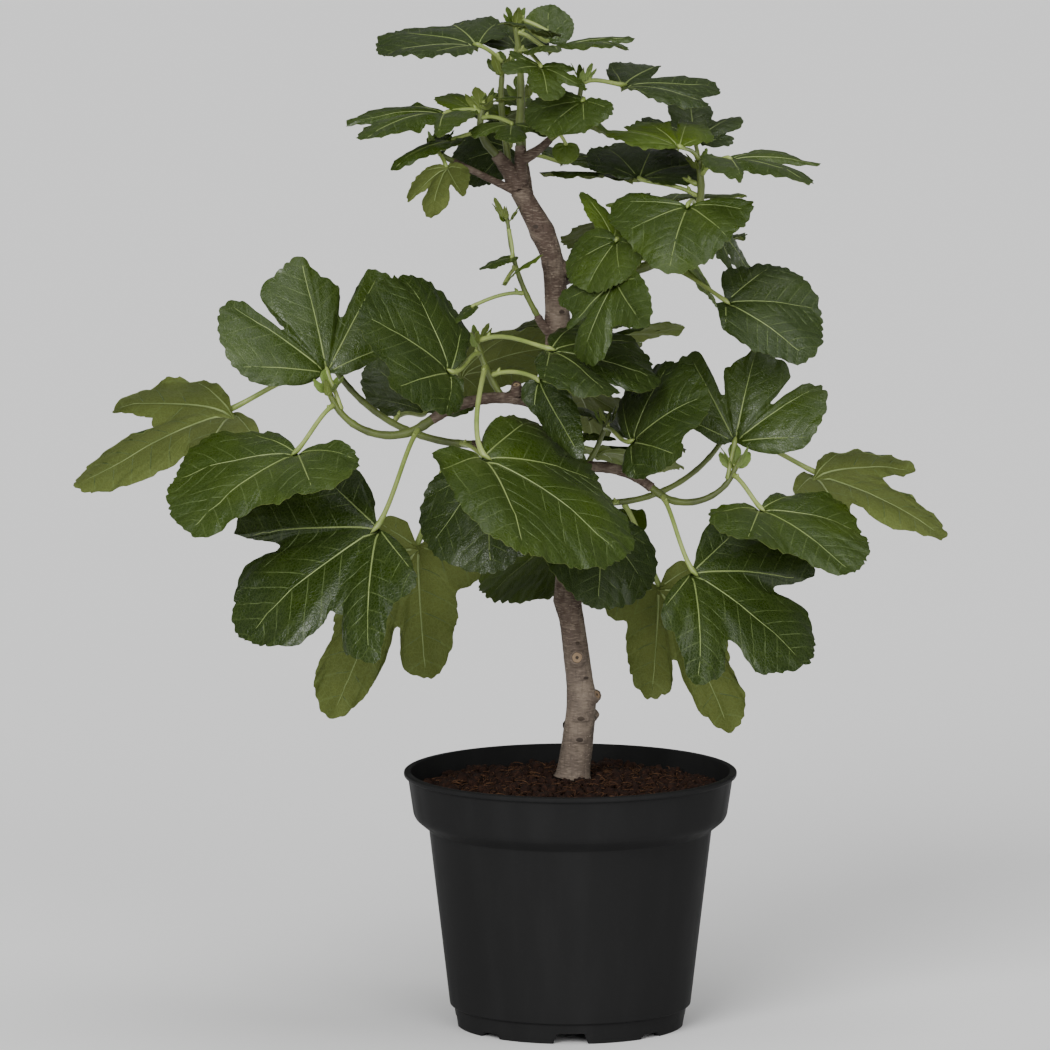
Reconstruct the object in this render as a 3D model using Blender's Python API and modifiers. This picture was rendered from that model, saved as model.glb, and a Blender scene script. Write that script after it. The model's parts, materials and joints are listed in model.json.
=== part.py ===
"""Fig tree in a nursery pot: pot, soil, trunk, boughs and masses of leaves.

Metres, +Z up. The origin is on the pot's axis, on the floor. The front faces -Y and +X is to
its right. Sizes below are in millimetres and degrees, and are turned into metres as pieces
are made. A heading is counted from +X towards +Y, and a rise from the level upwards.
"""

import math
import random
from collections import namedtuple

import bmesh
import bpy
from mathutils import Vector
from mathutils.bvhtree import BVHTree

MM = 0.001
GAP = 0.3

# Pot: a round nursery pot, 28 cm across, of about 10 litres
POT_HEIGHT = 216.0
LIP_RADIUS = 140.0
LIP_DEPTH = 4.0
LIP_BEVEL = 1.0
BAND_TOP_RADIUS = 136.6
BAND_FOOT_RADIUS = 132.0
BAND_FOOT_HEIGHT = 176.0
BAND_FOOT_BEVEL = (2.0, 4.0)
WALL_TOP_RADIUS = 119.0
WALL_TOP_HEIGHT = 167.0
SHOULDER = (3.0, 2.5)
WALL_FOOT_RADIUS = 101.4
FOOT_STEP_HEIGHT = 18.0
FOOT_RING_RADIUS = 98.0
FOOT_STEP_DROP = 1.5
FOOT_EDGE_RADIUS = 95.5
WALL_THICKNESS = 2.4
FLOOR_UNDERSIDE = 12.0
FLOOR_BEVEL = (5.0, 6.0)
INNER_SHOULDER_RISE = 1.5
INNER_BAND_BEVEL = (2.5, 2.5, 8.0)
CENTRE_FOOT_RADIUS = 24.0
CENTRE_FOOT_TAPER = 2.0
TURN_STEPS = 48
NOTCH_COUNT = 8
NOTCH_REACH = 19.2
DEEP_NOTCH = (28.0, 9.0)
SHALLOW_NOTCH = (20.0, 4.0)

# Soil: a low mound with a level seat under the trunk
SOIL_SEAT_HEIGHT = 208.7
SOIL_EDGE_HEIGHT = 199.0
SOIL_SEAT_RADIUS = 24.0
SOIL_RINGS = 3
SOIL_CLEARANCE = 0.4

# Trunk: each station is its height, shift in x, shift in y and diameter
TRUNK_STATIONS = (
    (209, 2, 0, 33), (217, 3, 0, 28), (242, 6, -1, 26), (276, 9, -2, 24), (314, 5, -2, 21.5),
    (344, 1, 0, 20.5), (361, -2, 1, 22.5), (391, -3, 2, 19.5), (436, -6, 2, 20.5),
    (471, -10, 1, 21.5), (521, -13, 0, 21), (560, -13, 0, 18.5), (598, -11, 2, 20),
    (646, -15, 2, 18), (672, -24, 0, 20), (695, -36, 0, 17), (708, -43, 0, 16.5),
)
TRUNK_FOOT_RING = 4.0
TRUNK_SIDES = 12
BOUGH_SIDES = 8
STEM_SIDES = 6
PETIOLE_SIDES = 4
LIMB_STEP = 14.0
SEAT_ALLOWANCE = 1.15

# Boughs, and the stems that carry masses of leaves. A limb springs from its parent at a
# distance along it, or from its tip where that is None, and turns evenly from its first
# heading and rise to its last. Foot and tip are diameters.
Limb = namedtuple("Limb", "name parent at length heading rise heading_end rise_end foot tip")
BOUGHS = (
    Limb("bough_left", "trunk", 312, 116, 204, 28, 192, -30, 10.5, 8.5),
    Limb("bough_left_low", "trunk", 278, 74, 168, 5, 176, 4, 8.5, 7),
    Limb("bough_right", "trunk", 259, 88, -20, 22, -20, -32, 10, 8),
    Limb("bough_right_low", "trunk", 230, 40, 15, 8, 8, 4, 8, 6.5),
    Limb("bough_small", "trunk", 377, 26, 200, 32, 190, 62, 8, 6),
    Limb("bough_upper_right", "trunk", 441, 76, 12, -35, 2, 20, 11, 9),
    Limb("bough_top_left", "trunk", None, 36, 180, 60, 200, 50, 14, 10),
    Limb("bough_top_middle", "trunk", 507, 38, 20, 86, 20, 92, 12, 8.5),
    Limb("bough_top_right", "bough_top_middle", 24, 34, -18, 30, -20, 42, 8, 6),
    Limb("bough_twig", "trunk", 502, 68, 196, 26, 194, 27, 6.5, 5),
    Limb("bough_rear_low", "trunk", 245, 70, 96, 22, 84, -2, 9, 7.5),
    Limb("bough_rear_middle", "trunk", 335, 60, 70, 16, 76, -6, 8.5, 7),
    Limb("bough_rear_upper", "trunk", 420, 66, 50, 10, 40, 10, 8, 6.5),
    Limb("bough_rear_top", "trunk", 492, 48, 88, 24, 100, 50, 8, 6.5),
)
STEMS = (
    Limb("leaves_left", "bough_left", None, 102, 192, -30, 174, 62, 8, 5),
    Limb("leaves_left_low", "bough_left_low", None, 138, 176, 4, 184, 56, 6.5, 5),
    Limb("leaves_centre", "bough_left", 50, 50, 175, 58, 160, 70, 6, 4.5),
    Limb("leaves_small", "bough_small", None, 84, 190, 62, 176, 84, 5, 3),
    Limb("leaves_mid_right", "bough_upper_right", 42, 52, -84, 30, -60, 30, 6, 4),
    Limb("leaves_upper_right", "bough_upper_right", None, 112, 2, 20, -40, 96, 8.5, 6),
    Limb("leaves_top_left", "bough_top_left", None, 44, 200, 50, 200, 100, 7, 5),
    Limb("leaves_top_back", "bough_top_left", 16, 84, 110, 70, 180, 94, 6, 4.5),
    Limb("leaves_top_middle", "bough_top_middle", None, 98, 200, 96, 180, 82, 7.5, 5),
    Limb("leaves_top_right", "bough_top_right", None, 58, -20, 42, -30, 80, 5.5, 4),
    Limb("leaves_twig", "bough_twig", None, 14, 194, 27, 194, 40, 5, 4),
    Limb("leaves_rear_low", "bough_rear_low", None, 80, 84, -2, 100, 40, 7, 4.5),
    Limb("leaves_rear_middle", "bough_rear_middle", None, 64, 76, -6, 60, 30, 6.5, 4.5),
    Limb("leaves_rear_upper", "bough_rear_upper", None, 56, 40, 10, 60, 60, 6, 4),
    Limb("leaves_rear_top", "bough_rear_top", None, 60, 100, 50, 80, 80, 6, 4),
)
BUD_LENGTH = 12.0
BUD_RADIUS = 0.6

# The right cluster mirrors the left one about these two heels, at a smaller scale.
MIRROR_SCALE = 0.84
MIRROR_FROM = Vector((-203, -30, 557))
MIRROR_TO = Vector((137, -25, 498))
MIRRORED = {
    "leaves_left": ("leaves_right", "bough_right", None),
    "leaves_left_low": ("leaves_right_low", "bough_right_low", None),
    "leaves_centre": ("leaves_right_centre", "bough_right", 24),
}

# Leaf outlines: reach of the margin from the heel against the length, at angles from the tip.
# Beyond the first and last angle the margin comes back close to the heel.
FORMS = {
    "three_lobed": (
        (-114, 0.10), (-88, 0.40), (-62, 0.70), (-42, 0.86), (-31, 0.46), (-18, 0.78), (0, 1.00),
        (18, 0.78), (31, 0.46), (42, 0.86), (62, 0.70), (88, 0.40), (114, 0.10),
    ),
    "five_lobed": (
        (-140, 0.14), (-112, 0.48), (-92, 0.50), (-82, 0.38), (-66, 0.70), (-50, 0.80), (-34, 0.50),
        (-20, 0.80), (0, 1.00), (20, 0.80), (34, 0.50), (50, 0.80), (66, 0.70), (82, 0.38),
        (92, 0.50), (112, 0.48), (140, 0.14),
    ),
    "whole": (
        (-125, 0.12), (-100, 0.42), (-72, 0.66), (-45, 0.84), (-20, 0.95), (0, 1.00), (20, 0.95),
        (45, 0.84), (72, 0.66), (100, 0.42), (125, 0.12),
    ),
    "round": (
        (-120, 0.14), (-100, 0.50), (-75, 0.78), (-45, 0.95), (0, 1.00), (45, 0.95), (75, 0.78),
        (100, 0.50), (120, 0.14),
    ),
    "narrow": (
        (-120, 0.10), (-80, 0.20), (-35, 0.34), (-12, 0.70), (0, 1.00), (12, 0.70), (35, 0.34),
        (80, 0.20), (120, 0.10),
    ),
    "long_lobed": (
        (-114, 0.10), (-88, 0.34), (-62, 0.52), (-44, 0.66), (-27, 0.44), (-12, 0.80), (0, 1.00),
        (12, 0.80), (27, 0.44), (44, 0.70), (62, 0.58), (88, 0.36), (114, 0.10),
    ),
    "upright": (
        (-114, 0.10), (-88, 0.32), (-76, 0.62), (-60, 0.84), (-45, 1.00), (-33, 1.00), (-26, 0.48),
        (-19, 0.72), (-6, 0.84), (0, 1.00), (10, 0.92), (26, 0.82), (32, 0.48), (38, 0.86),
        (48, 0.96), (70, 0.82), (86, 0.68), (104, 0.34), (114, 0.10),
    ),
    "broad": (
        (-126, 0.12), (-118, 0.30), (-98, 0.50), (-72, 0.78), (-54, 0.80), (-30, 0.88), (0, 1.00),
        (9, 0.90), (21, 0.66), (42, 0.68), (68, 0.68), (95, 0.50), (121, 0.14),
    ),
    "great": (
        (-122, 0.12), (-110, 0.50), (-84, 0.70), (-65, 0.88), (-52, 1.00), (-43, 0.66),
        (-34, 0.90), (-12, 1.06), (0, 1.00), (14, 0.90), (27, 0.60), (38, 0.84), (52, 0.96),
        (66, 0.64), (78, 0.62), (98, 0.16),
    ),
    "hanging": (
        (-140, 0.12), (-100, 0.34), (-74, 0.36), (-62, 0.32), (-50, 0.46), (-30, 0.72), (-20, 0.68),
        (-13, 0.46), (-8, 0.84), (0, 1.00), (10, 0.88), (16, 0.62), (60, 0.26), (112, 0.22), (135, 0.12),
    ),
    "shield": (
        (-142, 0.12), (-120, 0.44), (-91, 0.58), (-76, 0.80), (-60, 0.98), (-40, 0.96), (-20, 1.00),
        (0, 1.00), (18, 0.92), (40, 0.80), (65, 0.80), (86, 0.70), (105, 0.38), (116, 0.12),
    ),
    "lopsided": (
        (-110, 0.12), (-81, 0.16), (-57, 0.34), (-41, 0.50), (-24, 0.64), (-8, 0.84), (0, 1.00),
        (16, 1.04), (42, 0.98), (68, 0.90), (89, 0.72), (108, 0.48), (134, 0.38), (150, 0.12),
    ),
    "cupped": (
        (-118, 0.14), (-106, 0.50), (-77, 0.80), (-54, 0.96), (-20, 1.00), (0, 1.00), (20, 0.92),
        (32, 0.76), (42, 0.88), (60, 0.74), (84, 0.58), (112, 0.36), (128, 0.12),
    ),
    "mitten": (
        (-114, 0.12), (-90, 0.60), (-73, 0.86), (-50, 0.96), (-36, 0.90), (-27, 0.64), (-16, 0.96),
        (0, 1.00), (14, 0.92), (48, 0.92), (70, 0.70), (88, 0.52), (105, 0.24), (116, 0.12),
    ),
    "clover": (
        (-105, 0.12), (-82, 0.60), (-68, 0.82), (-51, 0.68), (-40, 0.82), (-32, 0.52), (-24, 0.92),
        (0, 1.00), (12, 0.92), (21, 0.58), (42, 0.70), (58, 0.92), (77, 0.68), (100, 0.42), (149, 0.16),
    ),
    "wide": (
        (-112, 0.12), (-92, 0.66), (-70, 0.74), (-47, 0.74), (-27, 0.80), (0, 1.00), (14, 0.94),
        (44, 0.74), (73, 0.64), (95, 0.60), (112, 0.12),
    ),
}
LEAF_THICKNESS = 0.0105
LEAF_CLEARANCE = 0.8
FOLD = 0.04
RIPPLE = 0.02
PETIOLE_RADIUS = 2.0
PETIOLE_STEPS = 3
PETIOLE_SINK = 0.07
PETIOLE_START = (0.35, 0.16)
PETIOLE_END = 0.14
PETIOLE_LEAST = 0.7
PETIOLE_GROWTH = 0.3
LONG_LEAF = 150.0

# Leaves that show: stem, place along it, heel, heading, rise and roll of the midrib, length,
# outline, and the side that the outline's first half lies on
Leaf = namedtuple("Leaf", "stem along heel heading rise roll length form hand twin",
                  defaults=(1, True))
LEAVES = (
    Leaf("leaves_left", 0.72, (-203, -30, 558), 115, 57, -11, 108, "upright"),
    Leaf("leaves_left", 0.80, (-228, -70, 497), -134, -25, -1, 132, "broad"),
    Leaf("leaves_left", 0.08, (-161, -95, 437), -168, -44, -33, 139, "great"),
    Leaf("leaves_left_low", 0.90, (-284, 5, 522), 168, -28, 38, 152, "long_lobed"),
    Leaf("leaves_left_low", 0.08, (-129, 30, 403), 152, -62, 50, 175, "hanging"),
    Leaf("leaves_left_low", 0.06, (-67, -30, 477), -90, -52, 24, 99, "whole"),
    Leaf("leaves_left_low", 0.45, (-122, 100, 507), 101, 40, 0, 80, "whole", 1, False),
    Leaf("leaves_rear_low", 0.30, (27, 140, 414), 191, -32, -14, 123, "shield", -1, False),
    Leaf("leaves_centre", 0.50, (-72, -124, 501), -11, -32, 14, 146, "shield", 1, False),
    Leaf("leaves_centre", 0.66, (-99, -75, 564), -158, 31, -45, 95, "cupped"),
    Leaf("leaves_centre", 0.84, (-17, -65, 582), -7, -17, 15, 95, "mitten", 1, False),
    Leaf("leaves_centre", 0.34, (-28, -46, 554), -55, -41, 60, 90, "narrow", 1, False),
    Leaf("leaves_centre", 0.95, (-94, 40, 547), 3, 15, -33, 89, "whole", 1, False),
    Leaf("leaves_small", 0.80, (-49, -12, 652), -130, -11, 0, 42, "narrow"),
    Leaf("leaves_small", 0.45, (-55, -24, 631), 0, 40, 0, 40, "narrow"),
    Leaf("leaves_small", 0.20, (-82, -14, 611), -116, -20, 0, 32, "narrow"),
    Leaf("leaves_mid_right", 0.60, (38, -70, 674), -141, -50, -6, 53, "round"),
    Leaf("leaves_mid_right", 0.85, (36, -95, 643), -131, -66, 6, 74, "clover"),
    Leaf("leaves_mid_right", 0.30, (36, -45, 672), 123, 35, 0, 60, "narrow"),
    Leaf("leaves_upper_right", 0.08, (129, -50, 620), -25, -36, 31, 84, "lopsided"),
    Leaf("leaves_upper_right", 0.20, (116, -18, 624), 130, 34, 50, 48, "whole"),
    Leaf("leaves_upper_right", 0.60, (97, -60, 702), -103, -31, 0, 90, "wide"),
    Leaf("leaves_upper_right", 0.50, (119, 30, 674), 50, -42, 60, 66, "long_lobed"),
    Leaf("leaves_upper_right", 0.85, (131, -25, 737), -41, -9, 0, 90, "three_lobed"),
    Leaf("leaves_upper_right", 0.95, (90, -45, 749), 122, 14, 0, 66, "upright"),
    Leaf("leaves_upper_right", 0.70, (57, 10, 716), 77, 18, 10, 64, "round"),
    Leaf("leaves_upper_right", 0.78, (52, 40, 711), 144, -1, 0, 95, "narrow"),
    Leaf("leaves_upper_right", 0.90, (104, 45, 744), 95, 28, 0, 66, "five_lobed"),
    Leaf("leaves_top_right", 0.80, (43, -5, 796), 25, -6, 12, 90, "three_lobed"),
    Leaf("leaves_top_right", 0.50, (10, -60, 789), -135, -28, -8, 53, "round"),
    Leaf("leaves_top_right", 0.10, (-4, -8, 746), -90, -60, 0, 18, "whole"),
    Leaf("leaves_top_middle", 0.70, (-25, -55, 817), -83, -24, -15, 57, "five_lobed"),
    Leaf("leaves_top_middle", 0.90, (-19, 30, 829), 89, 55, 0, 34, "whole"),
    Leaf("leaves_top_middle", 0.95, (-15, -10, 838), -140, 15, 0, 60, "narrow"),
    Leaf("leaves_top_middle", 0.85, (-19, -5, 826), -41, 5, 0, 85, "three_lobed"),
    Leaf("leaves_top_back", 0.95, (-78, 0, 829), 146, 0, -10, 92, "whole"),
    Leaf("leaves_top_back", 0.85, (-45, 35, 823), 110, 15, 0, 54, "whole"),
    Leaf("leaves_top_left", 0.70, (-103, -15, 774), -137, -8, 0, 98, "three_lobed"),
    Leaf("leaves_top_left", 0.90, (-82, -4, 775), 129, 14, 0, 38, "whole"),
    Leaf("leaves_top_left", 0.35, (-97, -25, 753), -135, -14, 0, 76, "narrow"),
    Leaf("leaves_top_back", 0.40, (-51, 40, 738), 172, -20, -45, 52, "whole"),
    Leaf("leaves_top_left", 0.60, (-49, -40, 767), -92, -12, 0, 52, "three_lobed"),
    Leaf("leaves_top_left", 0.95, (-72, -20, 781), -33, 14, 0, 38, "narrow"),
    Leaf("leaves_twig", 0.90, (-104, -44, 732), 126, -66, 0, 50, "three_lobed"),
)

# Leaves behind the ones in view: stem, count, length, and the low and high corners of the
# space that the mass keeps to
Spray = namedtuple("Spray", "stem count length low high")
SPRAYS = (
    Spray("leaves_rear_low", 7, 104, (-110, 40, 360), (100, 260, 540)),
    Spray("leaves_rear_middle", 6, 92, (-100, 40, 480), (110, 240, 590)),
    Spray("leaves_rear_upper", 6, 84, (-10, 45, 580), (150, 220, 700)),
    Spray("leaves_rear_top", 6, 72, (-110, 50, 690), (90, 200, 810)),
)
TURN_BETWEEN_LEAVES = 137.5
SPRAY_TRIES = 24
SPRAY_TURN = 40
SPRAY_SWING = 20
SPRAY_STALK_RISE = (-10, 45)
SPRAY_STALK = (30, 60)
SPRAY_BLADE_RISE = (-45, 10)
SPRAY_SIZE = (0.8, 1.05)
SPRAY_FORMS = ("whole", "three_lobed", "mitten", "round")

# Surface of each piece: base colour, roughness
FINISHES = {
    "pot": ((0.018, 0.019, 0.020), 0.55),
    "soil": ((0.045, 0.022, 0.012), 0.95),
    "wood": ((0.150, 0.105, 0.075), 0.80),
    "leaf": ((0.050, 0.110, 0.030), 0.45),
}


def clear_scene():
    """Remove every object the file starts with."""
    for item in list(bpy.data.objects):
        bpy.data.objects.remove(item, do_unlink=True)


def new_collection(name):
    """Make a collection under the scene's own."""
    group = bpy.data.collections.new(name)
    bpy.context.scene.collection.children.link(group)
    return group


def finish(name):
    """Make or reuse the Principled material of a finish."""
    material = bpy.data.materials.get(name)
    if material is None:
        colour, roughness = FINISHES[name]
        material = bpy.data.materials.new(name)
        material.use_nodes = True
        shader = material.node_tree.nodes["Principled BSDF"]
        shader.inputs["Base Color"].default_value = (*colour, 1.0)
        shader.inputs["Roughness"].default_value = roughness
        shader.inputs["Metallic"].default_value = 0.0
    return material


def add_object(name, mesh, group):
    """Put a mesh in the scene under a name."""
    item = bpy.data.objects.new(name, mesh)
    group.objects.link(item)
    return item


def baked(item, group, name):
    """Replace an object by a plain mesh of what its modifiers or its curve make."""
    bpy.context.view_layer.update()
    evaluated = item.evaluated_get(bpy.context.evaluated_depsgraph_get())
    mesh = bpy.data.meshes.new_from_object(evaluated)
    matrix = item.matrix_world.copy()
    bpy.data.objects.remove(item, do_unlink=True)
    result = add_object(name, mesh, group)
    result.matrix_world = matrix
    return result


def weld(mesh, distance=0.002):
    """Join points that lie together and turn all faces outwards."""
    shell = bmesh.new()
    shell.from_mesh(mesh)
    bmesh.ops.remove_doubles(shell, verts=shell.verts, dist=distance * MM)
    bmesh.ops.dissolve_degenerate(shell, dist=distance * MM, edges=shell.edges)
    bmesh.ops.recalc_face_normals(shell, faces=shell.faces)
    shell.to_mesh(mesh)
    shell.free()


def way(heading, rise):
    """Unit vector of a heading and a rise."""
    level = math.cos(math.radians(rise))
    turn = math.radians(heading)
    return Vector((level * math.cos(turn), level * math.sin(turn), math.sin(math.radians(rise))))


def spline_between(before, start, end, after, t):
    """Point on the smooth curve through start and end, given the stations beside them."""
    return 0.5 * (
        2 * start
        + (end - before) * t
        + (2 * before - 5 * start + 4 * end - after) * t * t
        + (3 * start - before - 3 * end + after) * t * t * t
    )


def trunk_line():
    """Points and radii of the trunk, on a smooth curve through its stations."""
    stations = [Vector((x, y, z, width / 2)) for z, x, y, width in TRUNK_STATIONS]
    line = []
    for index in range(len(stations) - 1):
        start, end = stations[index], stations[index + 1]
        before = stations[max(index - 1, 0)]
        after = stations[min(index + 2, len(stations) - 1)]
        count = max(1, round((end - start).length / (2 * LIMB_STEP)))
        for step in range(count):
            line.append(spline_between(before, start, end, after, step / count))
    line.append(stations[-1])
    return [point.to_3d() for point in line], [point.w for point in line]


def point_along(points, distance):
    """Point at a distance along a line of points."""
    for start, end in zip(points, points[1:]):
        reach = (end - start).length
        if distance <= reach:
            return start.lerp(end, distance / reach)
        distance -= reach
    return points[-1].copy()


def limb_line(limb, parent_points):
    """Points and radii of a limb that turns evenly from its first way to its last."""
    if limb.at is None:
        forward = (parent_points[-1] - parent_points[-2]).normalized()
        start = parent_points[-1] + forward * GAP
    else:
        start = point_along(parent_points, limb.at)
    count = max(3, round(limb.length / LIMB_STEP))
    points = [start]
    for step in range(count):
        t = step / (count - 1)
        heading = limb.heading + (limb.heading_end - limb.heading) * t
        rise = limb.rise + (limb.rise_end - limb.rise) * t
        forward = way(heading, rise)
        if limb.at is None and step == 0:
            forward = (parent_points[-1] - parent_points[-2]).normalized()
        points.append(points[-1] + forward * (limb.length / count))
    radii = [(limb.foot + (limb.tip - limb.foot) * i / count) / 2 for i in range(count + 1)]
    return points, radii


def tube(name, points, radii, sides, group, extra=0.0):
    """Make a closed tube along points, each with its radius, as a welded mesh."""
    curve = bpy.data.curves.new(name, "CURVE")
    curve.dimensions = "3D"
    curve.twist_mode = "MINIMUM"
    curve.bevel_depth = MM
    curve.bevel_resolution = (sides - 4) // 2
    curve.use_fill_caps = True
    spline = curve.splines.new("POLY")
    spline.points.add(len(points) - 1)
    for place, point, radius in zip(spline.points, points, radii):
        place.co = (*(point * MM), 1.0)
        place.radius = radius + extra
    item = baked(add_object(name, curve, group), group, name)
    weld(item.data)
    return item


def cut(item, cutter, operation, group):
    """Apply one Boolean of two meshes to the first."""
    change = item.modifiers.new("cut", "BOOLEAN")
    change.operation = operation
    change.solver = "EXACT"
    change.object = cutter
    return baked(item, group, item.name)


def keep_largest_body(mesh):
    """Drop loose scraps and sealed hollows, so that one body is left."""
    shell = bmesh.new()
    shell.from_mesh(mesh)
    waiting = set(shell.verts)
    bodies = []
    while waiting:
        body = set()
        border = {waiting.pop()}
        while border:
            body |= border
            border = {edge.other_vert(v) for v in border for edge in v.link_edges} - body
        waiting -= body
        bodies.append(body)
    bodies.sort(key=len)
    for body in bodies[:-1]:
        bmesh.ops.delete(shell, geom=list(body), context="VERTS")
    shell.to_mesh(mesh)
    shell.free()


def smooth(item, angle=40):
    """Shade a round piece smooth, with its edges kept sharp."""
    item.data.shade_smooth()
    item.data.set_sharp_from_angle(angle=math.radians(angle))


def turned(name, profile, group):
    """Turn a profile of radius and height about the vertical axis."""
    mesh = bpy.data.meshes.new(name)
    points = [(radius * MM, 0.0, height * MM) for radius, height in profile]
    mesh.from_pydata(points, [(i, i + 1) for i in range(len(points) - 1)], [])
    item = add_object(name, mesh, group)
    screw = item.modifiers.new("turn", "SCREW")
    screw.steps = TURN_STEPS
    screw.render_steps = TURN_STEPS
    screw.use_merge_vertices = True
    screw.merge_threshold = 0.0001
    result = baked(item, group, name)
    weld(result.data)
    return result


def pot_outside():
    """Outer side of the pot from the lip down, and its underside to the axis."""
    wall = WALL_THICKNESS
    return [
        (LIP_RADIUS - LIP_BEVEL, POT_HEIGHT),
        (LIP_RADIUS, POT_HEIGHT - LIP_BEVEL),
        (LIP_RADIUS, POT_HEIGHT - LIP_DEPTH + LIP_BEVEL),
        (LIP_RADIUS - LIP_BEVEL, POT_HEIGHT - LIP_DEPTH),
        (BAND_TOP_RADIUS, POT_HEIGHT - LIP_DEPTH - LIP_BEVEL),
        (BAND_FOOT_RADIUS, BAND_FOOT_HEIGHT + BAND_FOOT_BEVEL[1]),
        (BAND_FOOT_RADIUS - BAND_FOOT_BEVEL[0], BAND_FOOT_HEIGHT),
        (WALL_TOP_RADIUS + SHOULDER[0], WALL_TOP_HEIGHT + SHOULDER[1]),
        (WALL_TOP_RADIUS, WALL_TOP_HEIGHT),
        (WALL_FOOT_RADIUS, FOOT_STEP_HEIGHT),
        (FOOT_RING_RADIUS, FOOT_STEP_HEIGHT - FOOT_STEP_DROP),
        (FOOT_EDGE_RADIUS, 0.0),
        (FOOT_EDGE_RADIUS - 2 * wall, 0.0),
        (FOOT_EDGE_RADIUS - 2 * wall, FLOOR_UNDERSIDE),
        (CENTRE_FOOT_RADIUS, FLOOR_UNDERSIDE),
        (CENTRE_FOOT_RADIUS - CENTRE_FOOT_TAPER, 0.0),
        (0.0, 0.0),
    ]


def pot_inside(gap=0.0):
    """Inner side of the pot from the axis up to its rim, drawn in by a gap."""
    wall = WALL_THICKNESS
    floor = FLOOR_UNDERSIDE + wall
    line = [
        (0.0, floor),
        (WALL_FOOT_RADIUS - wall - FLOOR_BEVEL[0], floor),
        (WALL_FOOT_RADIUS - wall, floor + FLOOR_BEVEL[1]),
        (WALL_TOP_RADIUS - wall, WALL_TOP_HEIGHT + INNER_SHOULDER_RISE),
        (BAND_FOOT_RADIUS - wall - INNER_BAND_BEVEL[0], BAND_FOOT_HEIGHT + INNER_BAND_BEVEL[1]),
        (BAND_FOOT_RADIUS - wall, BAND_FOOT_HEIGHT + INNER_BAND_BEVEL[2]),
        (BAND_TOP_RADIUS - wall, POT_HEIGHT),
    ]
    return [(max(radius - gap, 0.0), height + gap) for radius, height in line]


def build_pot(group, cutters):
    """Pot: one turned shell, with notches through its foot ring."""
    for index in range(NOTCH_COUNT):
        width, height = SHALLOW_NOTCH if index % 2 else DEEP_NOTCH
        turn = 2 * math.pi * index / NOTCH_COUNT
        bpy.ops.mesh.primitive_cube_add(size=1.0)
        notch = bpy.context.active_object
        notch.name = "notch_%d" % index
        notch.scale = (NOTCH_REACH * MM, width * MM, 2 * height * MM)
        notch.location = (FOOT_EDGE_RADIUS * MM * math.cos(turn), FOOT_EDGE_RADIUS * MM * math.sin(turn), 0)
        notch.rotation_euler = (0, 0, turn)
        notch.hide_render = True
        notch.display_type = "WIRE"
        for owner in list(notch.users_collection):
            owner.objects.unlink(notch)
        cutters.objects.link(notch)
    pot = turned("pot", pot_outside() + pot_inside() + pot_outside()[:1], group)
    pot.data.materials.append(finish("pot"))
    smooth(pot)
    change = pot.modifiers.new("notches", "BOOLEAN")
    change.operation = "DIFFERENCE"
    change.operand_type = "COLLECTION"
    change.collection = cutters
    return pot


def build_soil(group):
    """Soil: fills the pot to a low mound, level under the trunk."""
    mound = [(0.0, SOIL_SEAT_HEIGHT), (SOIL_SEAT_RADIUS, SOIL_SEAT_HEIGHT)]
    side = pot_inside(SOIL_CLEARANCE)
    low, high = side[-2], side[-1]
    t = (SOIL_EDGE_HEIGHT - low[1]) / (high[1] - low[1])
    edge = low[0] + (high[0] - low[0]) * t
    for ring in range(1, SOIL_RINGS + 1):
        t = ring / SOIL_RINGS
        fall = (1 - math.cos(math.pi * t)) / 2
        radius = SOIL_SEAT_RADIUS + (edge - SOIL_SEAT_RADIUS) * t
        mound.append((radius, SOIL_SEAT_HEIGHT + (SOIL_EDGE_HEIGHT - SOIL_SEAT_HEIGHT) * fall))
    soil = turned("soil", mound + side[-2::-1], group)
    soil.data.materials.append(finish("soil"))
    smooth(soil)
    return soil


def margin(form, angle):
    """Reach of a leaf's outline at an angle from the tip, straight between its points."""
    outline = FORMS[form]
    points = (*outline, (360 + outline[0][0], outline[0][1]))
    angle = (angle - outline[0][0]) % 360 + outline[0][0]
    for (low, near), (high, far) in zip(points, points[1:]):
        if angle <= high:
            return near + (far - near) * (angle - low) / (high - low)
    return points[-1][1]


def blade_frame(leaf):
    """Ways along the midrib, across the blade and out of its upper side."""
    forward = way(leaf.heading, leaf.rise)
    level = Vector((-forward.y, forward.x, 0.0)).normalized()
    upward = forward.cross(level)
    turn = math.radians(leaf.roll)
    side = level * math.cos(turn) + upward * math.sin(turn)
    return forward, side, forward.cross(side)


def blade_point(leaf, angle, share=1.0):
    """Place of a point of the blade, at an angle and at a share of the way to its margin."""
    distance = share * margin(leaf.form, angle * leaf.hand)
    along = distance * math.cos(math.radians(angle))
    across = distance * math.sin(math.radians(angle))
    lift = FOLD * abs(across) + RIPPLE * distance * math.sin(math.radians(angle * 5) + leaf.heading)
    forward, side, normal = blade_frame(leaf)
    return Vector(leaf.heel) + (forward * along + side * across + normal * lift) * leaf.length


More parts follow.
